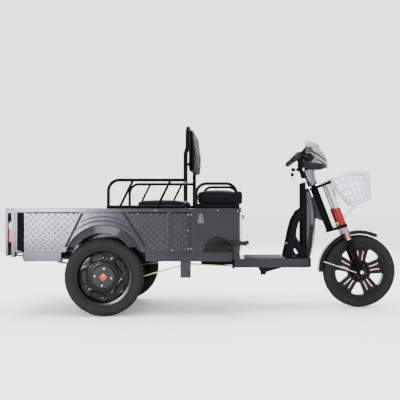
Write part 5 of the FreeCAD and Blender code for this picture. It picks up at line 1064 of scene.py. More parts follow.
def rim_skin(sign):
    """Pressed rim: its section turned about the axle, with the disc drawn in by rounded pockets
    between the spokes."""
    flange, bead, well, drum = REAR_TYRE[1], 155.0, 28.0, 82.0
    outer = resampled(((20, 30), (20, drum), (15, drum + 11), (15, bead - 14), (12, bead - 4)), 46)
    inner = resampled(((5, bead - 4), (8, bead - 14), (8, drum + 13), (14, drum), (14, 30)), 46)
    barrel = np.array(((well + 3, bead - 4), (well + 6, flange - 4), (well + 6, flange - 1),
                       (well + 5, flange), (well + 2, flange), (well, bead), (-well, bead),
                       (-well - 2, flange), (-well - 6, flange), (-well - 6, flange - 4),
                       (-well - 3, bead - 4)))
    section = np.concatenate((outer, barrel, inner))
    turn = np.linspace(0, 2 * math.pi, 180, endpoint=False)
    axial, radial = section[None, :, 0], section[None, :, 1]
    across = ((turn[:, None] * RIM_PRESSINGS / (2 * math.pi)) % 1.0 - 0.5) * 2 * math.pi / RIM_PRESSINGS
    distance = np.hypot((radial - POCKET_RADIUS) / POCKET_HIGH, across * radial / POCKET_WIDE)
    pocket = 1 - eased(distance, 0.72, 1.0)
    on_disc = (radial < bead - 6) & (radial > drum + 2)
    lip = (1 - eased(np.abs(distance - 1.08), 0.0, 0.13)) * POCKET_LIP
    a = (axial - (POCKET_DEPTH * pocket - lip) * on_disc) * sign
    points = np.stack((REAR_X + radial * np.cos(turn)[:, None], sign * TRACK + a,
                       AXLE_Z + radial * np.sin(turn)[:, None]), -1)
    return Skin().grid(points, wrap_u=True, wrap_v=True)


HUB_FACE, BOLT_CIRCLE, BOLT_TURN, BOLT_COUNT = 391.0, 49.0, 7, 4
MARK_HALF, MARK_LEVELS = 17.5, ((1.0, -0.4), (1.0, 0.9), (0.95, 1.4))
SPOKES, SPOKE_TURN = 5, 86
STRIPES = (
    # name, finish, slot, distance from the spoke's middle, half width
    ("white", "white_trim", "basket_white", 12.5, 2.2),
    ("red", "red_enamel", "fork_red", 8.0, 1.6),
)
STRIPE_INNER, STRIPE_OUTER, STRIPE_FLARE, STRIPE_FACE, STRIPE_STEPS = 70.0, 128.0, 7.0, 17.2, 24


class TRICYCLE_OT_wheels(bpy.types.Operator):
    """Make the treaded tyres, the pressed rear rims, hub bolts, hub marks and the front rim's accents"""

    bl_idname = "tricycle.wheels"
    bl_label = "Wheels"

    def execute(self, context):
        look = context.scene.tricycle_look
        for side, sign in SIDES:
            body = "rear_wheel_" + side
            tyre_skin(*REAR_TYRE, look.tread_blocks, look.tread_depth, (REAR_X, sign * TRACK, AXLE_Z)).piece(
                "tread_" + side, "tyre_rubber", "tyre_black", body, 50, ("rear_tyre_" + side,))
            rim_skin(sign).piece(
                "pressed_rim_" + side, "rim_enamel", "rim_grey", body, 40, ("rear_rim_" + side,))
            self.hub(side, sign, body)
        tyre_skin(*FRONT_TYRE, look.tread_blocks, look.tread_depth, (FRONT_X, 0.0, AXLE_Z)).piece(
            "tread_front", "tyre_rubber", "tyre_black", "front_wheel", 50, ("front_tyre",))
        self.accents()
        return {"FINISHED"}

    @staticmethod
    def hub(side, sign, body):
        """Four bolts on the hub cap and a plain square set on its corner in the middle."""
        angle = np.radians(BOLT_TURN + 360 / BOLT_COUNT * np.arange(BOLT_COUNT)) * sign
        angle = angle + (math.pi if sign < 0 else 0)
        circle = np.column_stack((np.cos(angle), np.sin(angle))) * BOLT_CIRCLE + (REAR_X, AXLE_Z)
        frames = level_frames(BOLT_COUNT, (0.0, sign, 0.0))
        Skin().repeat(dome_form(7.0, 6.5, 16), upright(circle, sign * HUB_FACE), frames).piece(
            "hub_bolts_" + side, "chrome", "chrome", body)
        square = loop(MARK_HALF, MARK_HALF, 2.5, 4) @ np.array(((1, 1), (-1, 1))) / math.sqrt(2)
        levels = np.stack([upright(square * size + (REAR_X, AXLE_Z), sign * (HUB_FACE + lift))
                           for size, lift in MARK_LEVELS])
        Skin().tube(levels).piece("hub_mark_" + side, "mark_paint", "lamp_red", body)

    @staticmethod
    def accents():
        """Slim stripes that follow both edges of each spoke of the front rim."""
        radius = np.linspace(STRIPE_INNER, STRIPE_OUTER, STRIPE_STEPS)
        flare = STRIPE_FLARE * ((radius - STRIPE_INNER) / (STRIPE_OUTER - STRIPE_INNER)) ** 2
        for name, finish, slot, shift, width in STRIPES:
            skin = Skin()
            for spoke in range(SPOKES):
                middle = math.radians(SPOKE_TURN + 360 / SPOKES * spoke)
                for edge in SIGNS:
                    angle = middle + edge * (shift + flare) / radius
                    stripe = np.column_stack((FRONT_X + radius * np.cos(angle),
                                              AXLE_Z + radius * np.sin(angle)))
                    for face in SIGNS:
                        path = upright(stripe, face * STRIPE_FACE)
                        skin.tube(swept(path, ring(width, 8, 0.5), np.array((0.0, face, 0.0))))
            skin.piece(f"rim_stripes_{name}", finish, slot, "front_wheel")


# Springs and the parking brake's boot

COIL_LOW, COIL_HIGH, COIL_RADIUS, COIL_WIRE, COIL_TURNS = 216.3, 299.7, 20.0, 2.2, 8
FORK_HALF = 90.0
LEAF_HALF, LEAF_WIDTH, LEAF_THICK, LEAF_CAMBER, LEAF_Y = 300.0, 45.0, 7.0, 20.4, 230.0
LEAF_SEAT = 266.3
CLAMP_RADIUS, CLAMP_LOW, CLAMP_SHIFT, CLAMP_GAP, CLAMP_BEND = 3.0, 218.0, 22.0, 5.5, 9.0
HANGER_PATH = ((148.0, -238.0, 313.4), (148.0, -262.0, 313.4), (148.0, -262.0, 267.0))
HANGER_HALF, HANGER_BEND = 7.0, 9.0
LEAF_SHARES = (1.0, 0.66, 0.4)


class TRICYCLE_OT_springs(bpy.types.Operator):
    """Wind the fork springs and forge the leaf springs"""

    bl_idname = "tricycle.springs"
    bl_label = "Springs"

    def execute(self, context):
        self.fork_springs()
        for name, sign in (("front", 1), ("rear", -1)):
            self.leaves(name, sign)
        self.clamps()
        self.rod_hanger()
        return {"FINISHED"}

    @staticmethod
    def fork_springs():
        """Helix about each leg: radius R, turn t, and a height that grows evenly with t."""
        turn = np.linspace(0, 2 * math.pi * COIL_TURNS, COIL_TURNS * 40)
        share = turn / turn[-1]
        height = COIL_LOW + COIL_WIRE + (COIL_HIGH - COIL_LOW - 2 * COIL_WIRE) * share
        skin = Skin()
        for sign in SIGNS:
            left = sign * FORK_HALF + COIL_RADIUS * np.sin(turn)
            path = on_fork(np.column_stack((COIL_RADIUS * np.cos(turn), left, height)))
            skin.tube(swept(path, ring(COIL_WIRE, 10), FORK_UP))
        springs = skin.piece("wound_springs", "red_enamel", "spring_steel", None, 60, ("fork_springs",))
        top, bottom = on_fork((0, 0, COIL_HIGH)) * MM, on_fork((0, 0, COIL_LOW)) * MM
        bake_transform(springs)

    @staticmethod
    def leaves(name, sign):
        """Half of each leaf: a rounded strip along z = seat + camber (x / half)^2 from clamp to eye."""
        skin = Skin()
        section = loop(LEAF_WIDTH / 2, LEAF_THICK / 2, 2.5, 4)
        for way in SIGNS:
            for number, part in enumerate(LEAF_SHARES):
                x = np.linspace(0, LEAF_HALF * part, 24)
                low = LEAF_SEAT + LEAF_THICK * (2 - number) + LEAF_THICK / 2
                path = np.stack((REAR_X + sign * x, np.full(24, way * LEAF_Y),
                                 low + LEAF_CAMBER * part ** 2 * (x / x[-1]) ** 2), -1)
                skin.tube(swept(path, section, np.array((0.0, 0.0, 1.0))))
        leaves = skin.piece(f"leaves_{name}", "spring_steel", "chassis_black", None, 40, ("leaf_springs",))
        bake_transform(leaves)

    @staticmethod
    def clamps():
        """Bent clamp bolts that hold each stack of leaves to the axle housing."""
        skin = Skin()
        half, high = LEAF_WIDTH / 2 + CLAMP_GAP, LEAF_SEAT + 3 * LEAF_THICK + CLAMP_RADIUS
        for way in SIGNS:
            right, left = way * LEAF_Y - half, way * LEAF_Y + half
            for x in (REAR_X - CLAMP_SHIFT, REAR_X + CLAMP_SHIFT):
                path = rounded(((x, right, CLAMP_LOW), (x, right, high), (x, left, high),
                                (x, left, CLAMP_LOW)), CLAMP_BEND)
                skin.tube(swept(resampled(path, 60), ring(CLAMP_RADIUS, 10), np.array((1.0, 0.0, 0.0))))
        skin.piece("spring_clamps", "zinc", "steel", "rear_axle")

    @staticmethod
    def rod_hanger():
        """Square bar bent down from the right rail to the end of the brake rod."""
        path = resampled(rounded(HANGER_PATH, HANGER_BEND), 40)
        section = loop(HANGER_HALF, HANGER_HALF, 2.0, 4)
        Skin().tube(swept(path, section, np.array((1.0, 0.0, 0.0)))).piece(
            "rod_hanger", "tube_enamel", "chassis_black", "chassis", 40)


BOOT_ROOT = (142.0, 398.0)
BOOT_EDGE = ((-22, 392), (-18, 420), (15, 455), (50, 467), (85, 462), (120, 440), (147, 405), (147, 392))
BOOT_BACK, BOOT_FACE, PLEAT_DEPTH = 390.7, 421.0, 8.0
SLEEVE_ROOT, SLEEVE_END, SLEEVE_Y = (128.0, 433.0), (228.0, 425.0), -405.5
SLEEVE_RADIUS, SLEEVE_RINGS, SLEEVE_STEPS = 14.0, 5, 60


class TRICYCLE_OT_boot(bpy.types.Operator):
    """Mould the pleated boot over the parking brake's pivot"""

    bl_idname = "tricycle.boot"
    bl_label = "Parking Brake Boot"

    def execute(self, context):
        """Fan of pleats from the lever's root: point = root + s (edge(t) - root), standing out by a
        rounded height with a ripple that grows towards the edge."""
        look = context.scene.tricycle_look
        count = look.boot_pleats * 10
        edge = resampled(BOOT_EDGE, count)
        reach = np.linspace(0.02, 1.0, 26)
        root = np.array(BOOT_ROOT)
        t = np.linspace(0, 1, count)
        ripple = 0.5 - 0.5 * np.cos(2 * math.pi * look.boot_pleats * t)
        rise = np.sqrt(np.clip(1 - (reach[:, None] * 0.985) ** 6, 0, 1))
        fade = eased(t, 0, 0.06) * (1 - eased(t, 0.94, 1.0))
        pleats = PLEAT_DEPTH * ripple * eased(reach[:, None], 0.1, 0.5) * rise
        height = (BOOT_FACE - BOOT_BACK) * rise * (0.62 + 0.38 * fade) - pleats
        flat = root + reach[:, None, None] * (edge - root) * (1 - 0.035 * ripple[:, None])
        front = np.stack((flat[..., 0], -(BOOT_BACK + height), flat[..., 1]), -1)
        rim = front[-1:].copy()
        rim[..., 1] = -BOOT_BACK
        back = front[:1].copy()
        back[..., 1] = -BOOT_BACK
        skin = Skin().grid(np.concatenate((back, front, rim)))
        skin.grid(np.concatenate((rim, back)))
        for column in (0, -1):
            run = np.concatenate((back, front, rim))[:, column]
            base = run.copy()
            base[:, 1] = -BOOT_BACK
            skin.grid(np.stack((run, base)))
        boot = skin.piece("pleated_boot", "boot_rubber", "rubber_black", None, 60, ("parking_brake_boot",))
        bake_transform(boot)
        self.sleeve()
        return {"FINISHED"}

    @staticmethod
    def sleeve():
        """Rubber sleeve on the lever: a round tube of radius R (1 - 0.12 t) with shallow rings near
        the boot and a flared end."""
        t = np.linspace(0, 1, SLEEVE_STEPS)
        run = np.array(SLEEVE_ROOT) + t[:, None] * (np.array(SLEEVE_END) - np.array(SLEEVE_ROOT))
        path = upright(run, SLEEVE_Y)
        rings = 0.05 * np.cos(2 * math.pi * SLEEVE_RINGS * t / 0.6) * (1 - eased(t, 0.5, 0.6))
        radius = SLEEVE_RADIUS * (1 - 0.12 * t + rings + 0.2 * eased(t, 0.9, 0.94))
        round_section = swept(path, ring(1.0, 24), np.array((0.0, 0.0, 1.0))) - path[:, None]
        sleeve = path[:, None] + round_section * radius[:, None, None]
        Skin().tube(sleeve).piece("lever_sleeve", "boot_rubber", "rubber_black", "parking_brake", 50)


# Seats

def pad_rings(half_u, half_v, height, crown, corner, draw):
    """Closed pad on the plane z = 0: rings of a rounded rectangle whose sides are drawn in by draw
    between the corners, stacked as belt, shoulder and crown. The crown is z = height - crown (1 - s)^2.2,
    where s is the ring's share of the way from the border to the middle."""
    levels = [(0, 7.0), (3.0, 1.5), (height * 0.3, 0.0), (height - crown - 4, 0.0), (height - crown, 1.0)]
    inset = np.linspace(0.05, 0.97, 16)
    levels += [(height - crown * (1 - share) ** 2.2, half_u * share) for share in inset]
    rings = []
    for level, step in levels:
        u, v = half_u - step, half_v - step
        outline = loop(u, v, min(corner, u * 0.95), 20)
        pull = draw * max(0.0, 1 - step / half_u)
        middle_u = 1 - (outline[:, 1] / v) ** 2
        middle_v = 1 - (outline[:, 0] / u) ** 2
        way = np.sign(outline) * (np.abs(outline) > (u - corner, v - corner))
        outline = outline - pull * way * np.column_stack((middle_u, middle_v))
        rings.append(laid(outline, level))
    return np.stack(rings)


def seam_pull(points, lines, depth, width):
    """Depth by which seams draw the cover in: depth exp(-(distance / width)^2), the deepest of all lines."""
    pull = np.zeros(len(points))
    for normal, offset in lines:
        pull = np.maximum(pull, np.exp(-(((points @ np.asarray(normal, float)) - offset) / width) ** 2))
    return depth * pull


CLOTH_FRAMES, CLOTH_QUALITY, CLOTH_MASS, CLOTH_PRESSURE = 20, 5, 0.3, 4.0


def stuffed(piece, pinned, cap):
    """Swells a closed cover with the cloth solver: pinned points stay, and none moves beyond cap."""
    group = piece.vertex_groups.new(name="held")
    held = np.flatnonzero(pinned).tolist()
    group.add(held, 1.0, "REPLACE")
    cloth = piece.modifiers.new("stuffing", "CLOTH")
    cloth.settings.vertex_group_mass = "held"
    cloth.settings.quality = CLOTH_QUALITY
    cloth.settings.mass = CLOTH_MASS
    cloth.settings.use_pressure = True
    cloth.settings.uniform_pressure_force = CLOTH_PRESSURE
    cloth.settings.effector_weights.gravity = 0.0
    cloth.collision_settings.use_collision = False
    cloth.point_cache.frame_end = CLOTH_FRAMES
    for number in range(1, CLOTH_FRAMES + 1):
        bpy.context.scene.frame_set(number)
    swollen = piece.evaluated_get(bpy.context.evaluated_depsgraph_get()).data
    after = np.empty(len(piece.data.vertices) * 3)
    before = np.empty_like(after)
    swollen.vertices.foreach_get("co", after)
    piece.data.vertices.foreach_get("co", before)
    move = (after - before).reshape(-1, 3)
    length = np.linalg.norm(move, axis=1, keepdims=True)
    move *= np.minimum(1, cap / np.maximum(length, 1e-9))
    piece.modifiers.remove(cloth)
    piece.data.vertices.foreach_set("co", before + move.ravel())
    piece.vertex_groups.clear()
    bpy.context.scene.frame_set(1)


def mesh_points(mesh):
    points = np.empty(len(mesh.vertices) * 3)
    mesh.vertices.foreach_get("co", points)
    return points.reshape(-1, 3)


def mesh_normals(mesh):
    normals = np.empty(len(mesh.vertices) * 3)
    mesh.vertices.foreach_get("normal", normals)
    return normals.reshape(-1, 3)


COVER_VOXEL, SEAM_DEPTH, SEAM_WIDTH = 5.5, 3.2, 4.5
# Points that the solver leaves alone: those below a height and those near a seam
PIN_HEIGHT, PIN_WIDTH, PIN_SHARE = 5.0, 4.0, 0.4
PIPING_STEPS = 420


def pad_piece(name, rings, to_place, lines, body, replaced, cap):
    """Cover of a pad in its own frame, remeshed evenly, swollen between its seams, drawn in along
    them and placed."""
    piece = bpy.data.objects.new(name, Skin().tube(rings).mesh(name))
    bpy.context.scene.collection.objects.link(piece)
    remesh = piece.modifiers.new("even", "REMESH")
    remesh.mode = "VOXEL"
    remesh.voxel_size = COVER_VOXEL * MM
    even = bpy.data.meshes.new_from_object(piece.evaluated_get(bpy.context.evaluated_depsgraph_get()))
    piece.modifiers.clear()
    piece.data = even
    points = mesh_points(even) / MM
    pinned = (points[:, 2] < PIN_HEIGHT) | (seam_pull(points, lines, 1.0, PIN_WIDTH) > PIN_SHARE)
    stuffed(piece, pinned, cap * MM)
    points = mesh_points(piece.data) / MM
    top = eased(points[:, 2], 8.0, 16.0)
    pull = seam_pull(points, lines, SEAM_DEPTH, SEAM_WIDTH) * top
    points -= mesh_normals(piece.data) * pull[:, None]
    piece.data.vertices.foreach_set("co", (to_place(points) * MM).ravel())
    work = bmesh.new()
    work.from_mesh(piece.data)
    bmesh.ops.recalc_face_normals(work, faces=work.faces)
    work.to_mesh(piece.data)
    work.free()
    dressed(piece, "vinyl", body, 180, replaced)
    smooth = piece.modifiers.new("skin", "SUBSURF")
    smooth.levels = smooth.render_levels = 1
    return piece


def piping(name, piece, path, radius, body):
    """Round cord laid on a cover: each point of the path moves to the nearest point of the cover."""
    tree = BVHTree.FromObject(piece, bpy.context.evaluated_depsgraph_get())
    spots, normals = [], []
    for point in resampled(path, PIPING_STEPS, True) * MM:
        spot, normal = tree.find_nearest(Vector(point))[:2]
        spots.append(tuple(spot))
        normals.append(tuple(normal))
    spots, normals = np.array(spots) / MM, np.array(normals)
    spots = spots + normals * radius * 0.35
    for step in range(3):
        spots = (np.roll(spots, 1, axis=0) + spots * 2 + np.roll(spots, -1, axis=0)) / 4
    heading = unit(np.roll(spots, -1, axis=0) - np.roll(spots, 1, axis=0))
    side = unit(np.cross(normals, heading))
    up = np.cross(heading, side)
    profile = ring(radius, 8)
    points = spots[:, None] + profile[None, :, :1] * side[:, None] + profile[None, :, 1:] * up[:, None]
    return Skin().grid(points, wrap_u=True, wrap_v=True).piece(name, "vinyl", "vinyl_black", body, 60)


SEAT_MIDDLE, SEAT_LOW, SEAT_PIPING, SEAT_SKIRT = (69.0, 0.0), 656.8, 65.0, 10.0
BACK_X, BACK_Z, BACK_PIPING, BOARD_LEVELS = -104.0, 973.0, 12.0, (-10.0, 0.5)
PAD_MIDDLE, PAD_LOW, PAD_PIPING = (-282.0, 0.0), 628.5, 36.0


class TRICYCLE_OT_seats(bpy.types.Operator):
    """Stuff and sew the driver's seat, its backrest and the passenger pad"""

    bl_idname = "tricycle.seats"
    bl_label = "Seats"

    def execute(self, context):
        self.driver_seat()
        self.backrest()
        self.passenger_pad()
        return {"FINISHED"}

    @staticmethod
    def driver_seat():
        """Bench pad whose top is raised by 7 in a front roll and lowered by 3, and whose nose hangs over
        the board by 9."""
        def to_place(points):
            x, y, z = points.T
            roll = eased(x, 84.0, 122.0)
            raised = z + (7.0 * roll - 3.0) * eased(z, 30.0, 80.0)
            raised = raised - 9.0 * roll * (1 - eased(z, 4.0, 40.0)) * eased(x, 122.0, 132.0)
            return np.column_stack((x + SEAT_MIDDLE[0], y, raised + SEAT_LOW))

        rings = pad_rings(half_u=132.0, half_v=326.0, height=84.0, crown=18.0, corner=34.0, draw=4.0)
        lines = (((0, 1, 0), -112.0), ((0, 1, 0), 112.0), ((1, 0, 0), 82.0))
        seat = pad_piece("seat_pad", rings, to_place, lines, "seat", ("seat_cushion",), cap=7.0)
        outline = loop(132.0, 327.0, 36.0, 30) + SEAT_MIDDLE
        piping("seat_piping", seat, laid(outline, SEAT_LOW + SEAT_PIPING), 2.6, "seat")
        piping("seat_skirt_piping", seat, laid(outline, SEAT_LOW + SEAT_SKIRT), 2.2, "seat")

    @staticmethod
    def backrest():
        """Back pad laid against the frame: its depth is least at the top and greatest at about a third
        of its height."""
        def to_place(points):
            height, y, depth = points.T
            share = 0.52 + 0.48 * (1 - eased(np.abs(height + 52.0), 20.0, 175.0))
            return np.column_stack((BACK_X + depth * share, y, BACK_Z + height))

        rings = pad_rings(half_u=120.0, half_v=314.0, height=31.0, crown=12.0, corner=40.0, draw=5.0)
        lines = (((1, 0, 0), 34.0), ((1, 0, 0), -46.0), ((0, 1, 0), -176.0), ((0, 1, 0), 176.0))
        back = pad_piece("back_pad", rings, to_place, lines, "chassis", ("backrest_cushion",),
                         cap=6.0)
        path = facing(loop(120.0, 315.0, 40.0, 30), BACK_X + BACK_PIPING, BACK_Z)
        piping("back_piping", back, path, 2.4, "chassis")
        board = loop(121.0, 322.0, 36.0, 10)
        levels = [facing(board, BACK_X + level, BACK_Z) for level in BOARD_LEVELS]
        Skin().tube(np.stack(levels)).piece("back_board", "seat_board", "base_board", "chassis")

    @staticmethod
    def passenger_pad():
        """Flat pad on the ledges of the bed, sewn across in three places."""
        def to_place(points):
            return points + (*PAD_MIDDLE, PAD_LOW)

        rings = pad_rings(half_u=133.0, half_v=346.0, height=46.0, crown=9.0, corner=26.0, draw=4.0)
        lines = (((0, 1, 0), 0.0), ((0, 1, 0), -172.0), ((0, 1, 0), 172.0))
        pad = pad_piece("passenger_pad", rings, to_place, lines, "chassis", ("passenger_cushion",),
                        cap=5.0)
        outline = loop(133.0, 346.0, 28.0, 30) + PAD_MIDDLE
        piping("pad_piping", pad, laid(outline, PAD_LOW + PAD_PIPING), 2.2, "chassis")


# Foot mat and grips

MAT_SIZE, MAT_X = (122.5, 146.0, 12.0), 334.5
MAT_LEVELS = ((1.0, 319.1), (1.0, 322.4), (0.988, 323.2))
# Studs: rear, front, right and left end of their rows, foot and height
STUD_ZONE, STUD_FOOT, STUD_RISE = (222.0, 450.0, -138.0, 139.0), 323.0, 1.6


class TRICYCLE_OT_mat(bpy.types.Operator):
    """Mould the studded floor mat"""

    bl_idname = "tricycle.mat"
    bl_label = "Floor Mat"

    def execute(self, context):
        look = context.scene.tricycle_look
        outline = loop(*MAT_SIZE, 8)
        skin = Skin().tube(np.stack([laid(outline * size + (MAT_X, 0), z) for size, z in MAT_LEVELS]))
        rear, front, right, left = STUD_ZONE
        x, y = np.meshgrid(np.arange(rear, front, look.stud_pitch), np.arange(right, left, look.stud_pitch))
        spots = laid(np.column_stack((x.ravel(), y.ravel())), STUD_FOOT)
        stud = dome_form(look.stud_pitch * 0.3, STUD_RISE, 8)
        skin.repeat(stud, spots, level_frames(len(spots), (0, 0, 1)))
        skin.piece("studded_mat", "mat_rubber", "mat_grey", "chassis", 40, ("floor_mat",))
        return {"FINISHED"}


BAR_HEIGHT, BAR_BEND, BAR_TIP = 775.0, (-34.0, 180.0, 44.0), (-76.0, 310.0, 30.0)
GRIP_RADIUS, GRIP_LENGTH, GRIP_RIB, GRIP_PITCH = 17.0, 112.0, 0.9, 5.2
GRIP_FLANGE = ((-118.0, 12.0), (-118.0, 20.0), (-117.0, 21.0), (-111.5, 21.0), (-110.5, 20.0))
GRIP_END = ((4.4, 9.0), (4.6, 0.1))


def bar_point(place, sign):
    """World point of a place on the handlebar, given from the steering axis at bar height."""
    across, y, up = place
    return on_fork((across + STEER_OFFSET, y * sign, up + BAR_HEIGHT))


class TRICYCLE_OT_grips(bpy.types.Operator):
    """Mould the ribbed grips"""

    bl_idname = "tricycle.grips"
    bl_label = "Grips"

    def execute(self, context):
        """Radius = R - 0.9 cos^2 of the ribs along the grip, with a flanged inner and a rounded outer end."""
        for name, sign, body, node in (("left_grip_sleeve", 1, "steering", "left_grip"),
                                       ("throttle_sleeve", -1, "throttle", "throttle_grip")):
            tip = bar_point(BAR_TIP, sign)
            heading = unit(tip - bar_point(BAR_BEND, sign))
            along = np.linspace(-GRIP_LENGTH, 4.0, 150)
            ribs = GRIP_RIB * np.cos(math.pi * along / GRIP_PITCH) ** 2
            ribs = ribs * eased(along, -106.0, -100.0) * (1 - eased(along, -8, -4))
            end = 4.5 * eased(along, -2.0, 4.6)
            radius = GRIP_RADIUS - ribs - end
            profile = np.concatenate((GRIP_FLANGE, np.column_stack((along, radius))[2:], GRIP_END))
            start = unit(np.cross(heading, FORK_UP))
            points = turned(profile, 48, tip, heading, start)
            Skin().tube(points).piece(name, "boot_rubber", "rubber_black", body, 50, (node,))
        return {"FINISHED"}


# Head of the steering: cowl, lamp, screen, neck, horn and keys

KEY_RING, KEY_RING_RADIUS, KEY_RING_WIRE = (521.0, 862.0), 9.0, 0.9
COWL_X, COWL_Z = 609.0, 928.0
COWL_STATIONS = (
    # along, low, high, half width, half width of the flat top as a share of it
    (-24.0, -41.0, 48.0, 90.0, 0.8), (-14.0, -46.0, 72.0, 97.0, 0.72), (6.0, -51.0, 86.0, 103.0, 0.62),
    (40.0, -56.0, 86.0, 106.0, 0.58), (78.0, -56.0, 80.0, 101.0, 0.56), (102.0, -52.0, 56.0, 88.0, 0.58),
    (120.0, -46.0, 28.0, 70.0, 0.62), (132.0, -44.5, -4.0, 46.0, 0.7),
)
SHOULDER, SIDE_LEAN = 0.72, 0.06


def cowl_crease(x):
    """Height of the crease above the cowl's origin at a distance along it."""
    return (COWL_SPLIT - ((COWL_X + x) * MM - COWL_REAR) * COWL_FALL) / MM - COWL_Z


def cowl_stations(count):
    """Smooth values of low, high, half width and flat top along the cowl, by cubics between stations."""
    table = np.array(COWL_STATIONS)
    x = table[:, 0]
    slopes = np.gradient(table, x, axis=0)
    spots = x[0] + (x[-1] - x[0]) * np.sin(np.linspace(0, math.pi / 2, count))
    index = np.clip(np.searchsorted(x, spots, side="right") - 1, 0, len(x) - 2)
    span = (x[index + 1] - x[index])[:, None]
    t = ((spots - x[index])[:, None]) / span
    return (table[index] * (2 * t ** 3 - 3 * t ** 2 + 1) + slopes[index] * span * (t ** 3 - 2 * t ** 2 + t)
            + table[index + 1] * (3 * t ** 2 - 2 * t ** 3) + slopes[index + 1] * span * (t ** 3 - t ** 2))


def rounded_rings(corners, bend, count=5):
    """Closed polygons, one a row, with each corner eased: a quadratic curve bend long on both sides of it."""
    def towards(other):
        way = other - corners
        length = np.linalg.norm(way, axis=-1, keepdims=True)
        return corners + way * np.minimum(bend / np.maximum(length, 1e-6), 0.45)

    entry, leave = towards(np.roll(corners, 1, axis=1)), towards(np.roll(corners, -1, axis=1))
    t = np.linspace(0, 1, count)[:, None]
    curves = ((1 - t) ** 2 * entry[:, :, None] + 2 * t * (1 - t) * corners[:, :, None]
              + t ** 2 * leave[:, :, None])
    return curves.reshape(len(corners), -1, corners.shape[-1])


def cowl_grid(count):
    """Eased sections of eight corners along the cowl: bottom, crease, shoulder and top on both sides."""
    x, low, high, half, flat = cowl_stations(count).T
    crease = cowl_crease(x)
    shoulder = crease + SHOULDER * (high - crease)
    y = np.stack((half * 0.55, half, half * (1 - SIDE_LEAN), half * flat), -1)
    z = np.stack((low, crease, shoulder, high), -1)
    corners = np.stack((np.concatenate((y, -y[:, ::-1]), 1), np.concatenate((z, z[:, ::-1]), 1)), -1)
    rings = rounded_rings(corners, 7.0)
    along = np.broadcast_to(x[:, None], rings.shape[:2])
    return np.stack((COWL_X + along, rings[..., 0], COWL_Z + rings[..., 1]), -1)


PORT_CORNERS = ((-20.0, -10.0), (26.0, -10.0), (43.0, 20.0), (14.0, 48.0), (-20.0, 38.0))
PORT_MIDDLE = (7.0, 16.0)
LAMP_PARTS = (
    # name, finish, slot, half share of the width, profile along and up, shift forward, replaced nodes
    ("lamp_front", "lamp_glass", "clear_lens", 0.86,
     ((132.0, 0.0), (126.0, 26.0), (112.0, 48.0), (88.0, 80.0)), 3.0, ("headlight_lens",)),
    ("lamp_surround", "gloss_plastic", "black_plastic", 1.0,
     ((131.0, -8.0), (128.0, 24.0), (113.0, 46.0), (84.0, 84.0)), 0.5, ()),
)
LAMP_STEPS, LAMP_SWEEP, LAMP_DEPTH = 30, 34.0, (7.0, 0.0, 6.0)
SCREEN_HALF, SCREEN_NOSE, SCREEN_SWEEP, SCREEN_LEAN = 69.0, 89.0, 84.0, 5.0
SCREEN_LOW, SCREEN_TOP, SCREEN_EARS, SCREEN_DEPTH = 81.0, 106.0, 22.0, (2.2, 0.0, 1.2)
NECK_PROFILE = ((612.0, 15.5), (612.0, 26.0), (615.0, 28.0), (660.0, 29.5), (700.0, 33.0), (716.0, 37.0),
                (722.0, 16.0))
HORN_PROFILE = ((8, 0.1), (8, 19), (10, 22), (24, 22), (26, 26), (27, 31), (30, 32.5), (34, 32), (36, 29),
                (34.5, 24), (36, 20), (34.5, 14), (36, 9), (35.5, 0.1))
# The horn's strap: half thickness and half width, its middle, and its levels along the fork
STRAP_SIZE, STRAP_MIDDLE, STRAP_LEVELS = (2.0, 8.0), (14, -20), (520.0, 552.0, 584.6)
KEY_PARTS = (
    # name, finish, slot, outline, middle below the ring, half thickness
    ("spare_key_bow", "black_plastic", "black_plastic", loop(10.0, 12.0, 5.0, 6), (1.0, -20.0), 3.2),
    ("spare_key_blade", "chrome", "steel", loop(3.2, 14.0, 1.5, 4), (4.0, -44.0), 1.0),
)


def cowl_side(x, z):
    """Half width of the cowl's side at a place along it and above its origin."""
    stations = np.array(COWL_STATIONS)
    half = np.interp(x, stations[:, 0], stations[:, 3])
    high = np.interp(x, stations[:, 0], stations[:, 2])
    crease = cowl_crease(x)
    return half * (1 - SIDE_LEAN * (z - crease) / (SHOULDER * (high - crease)))


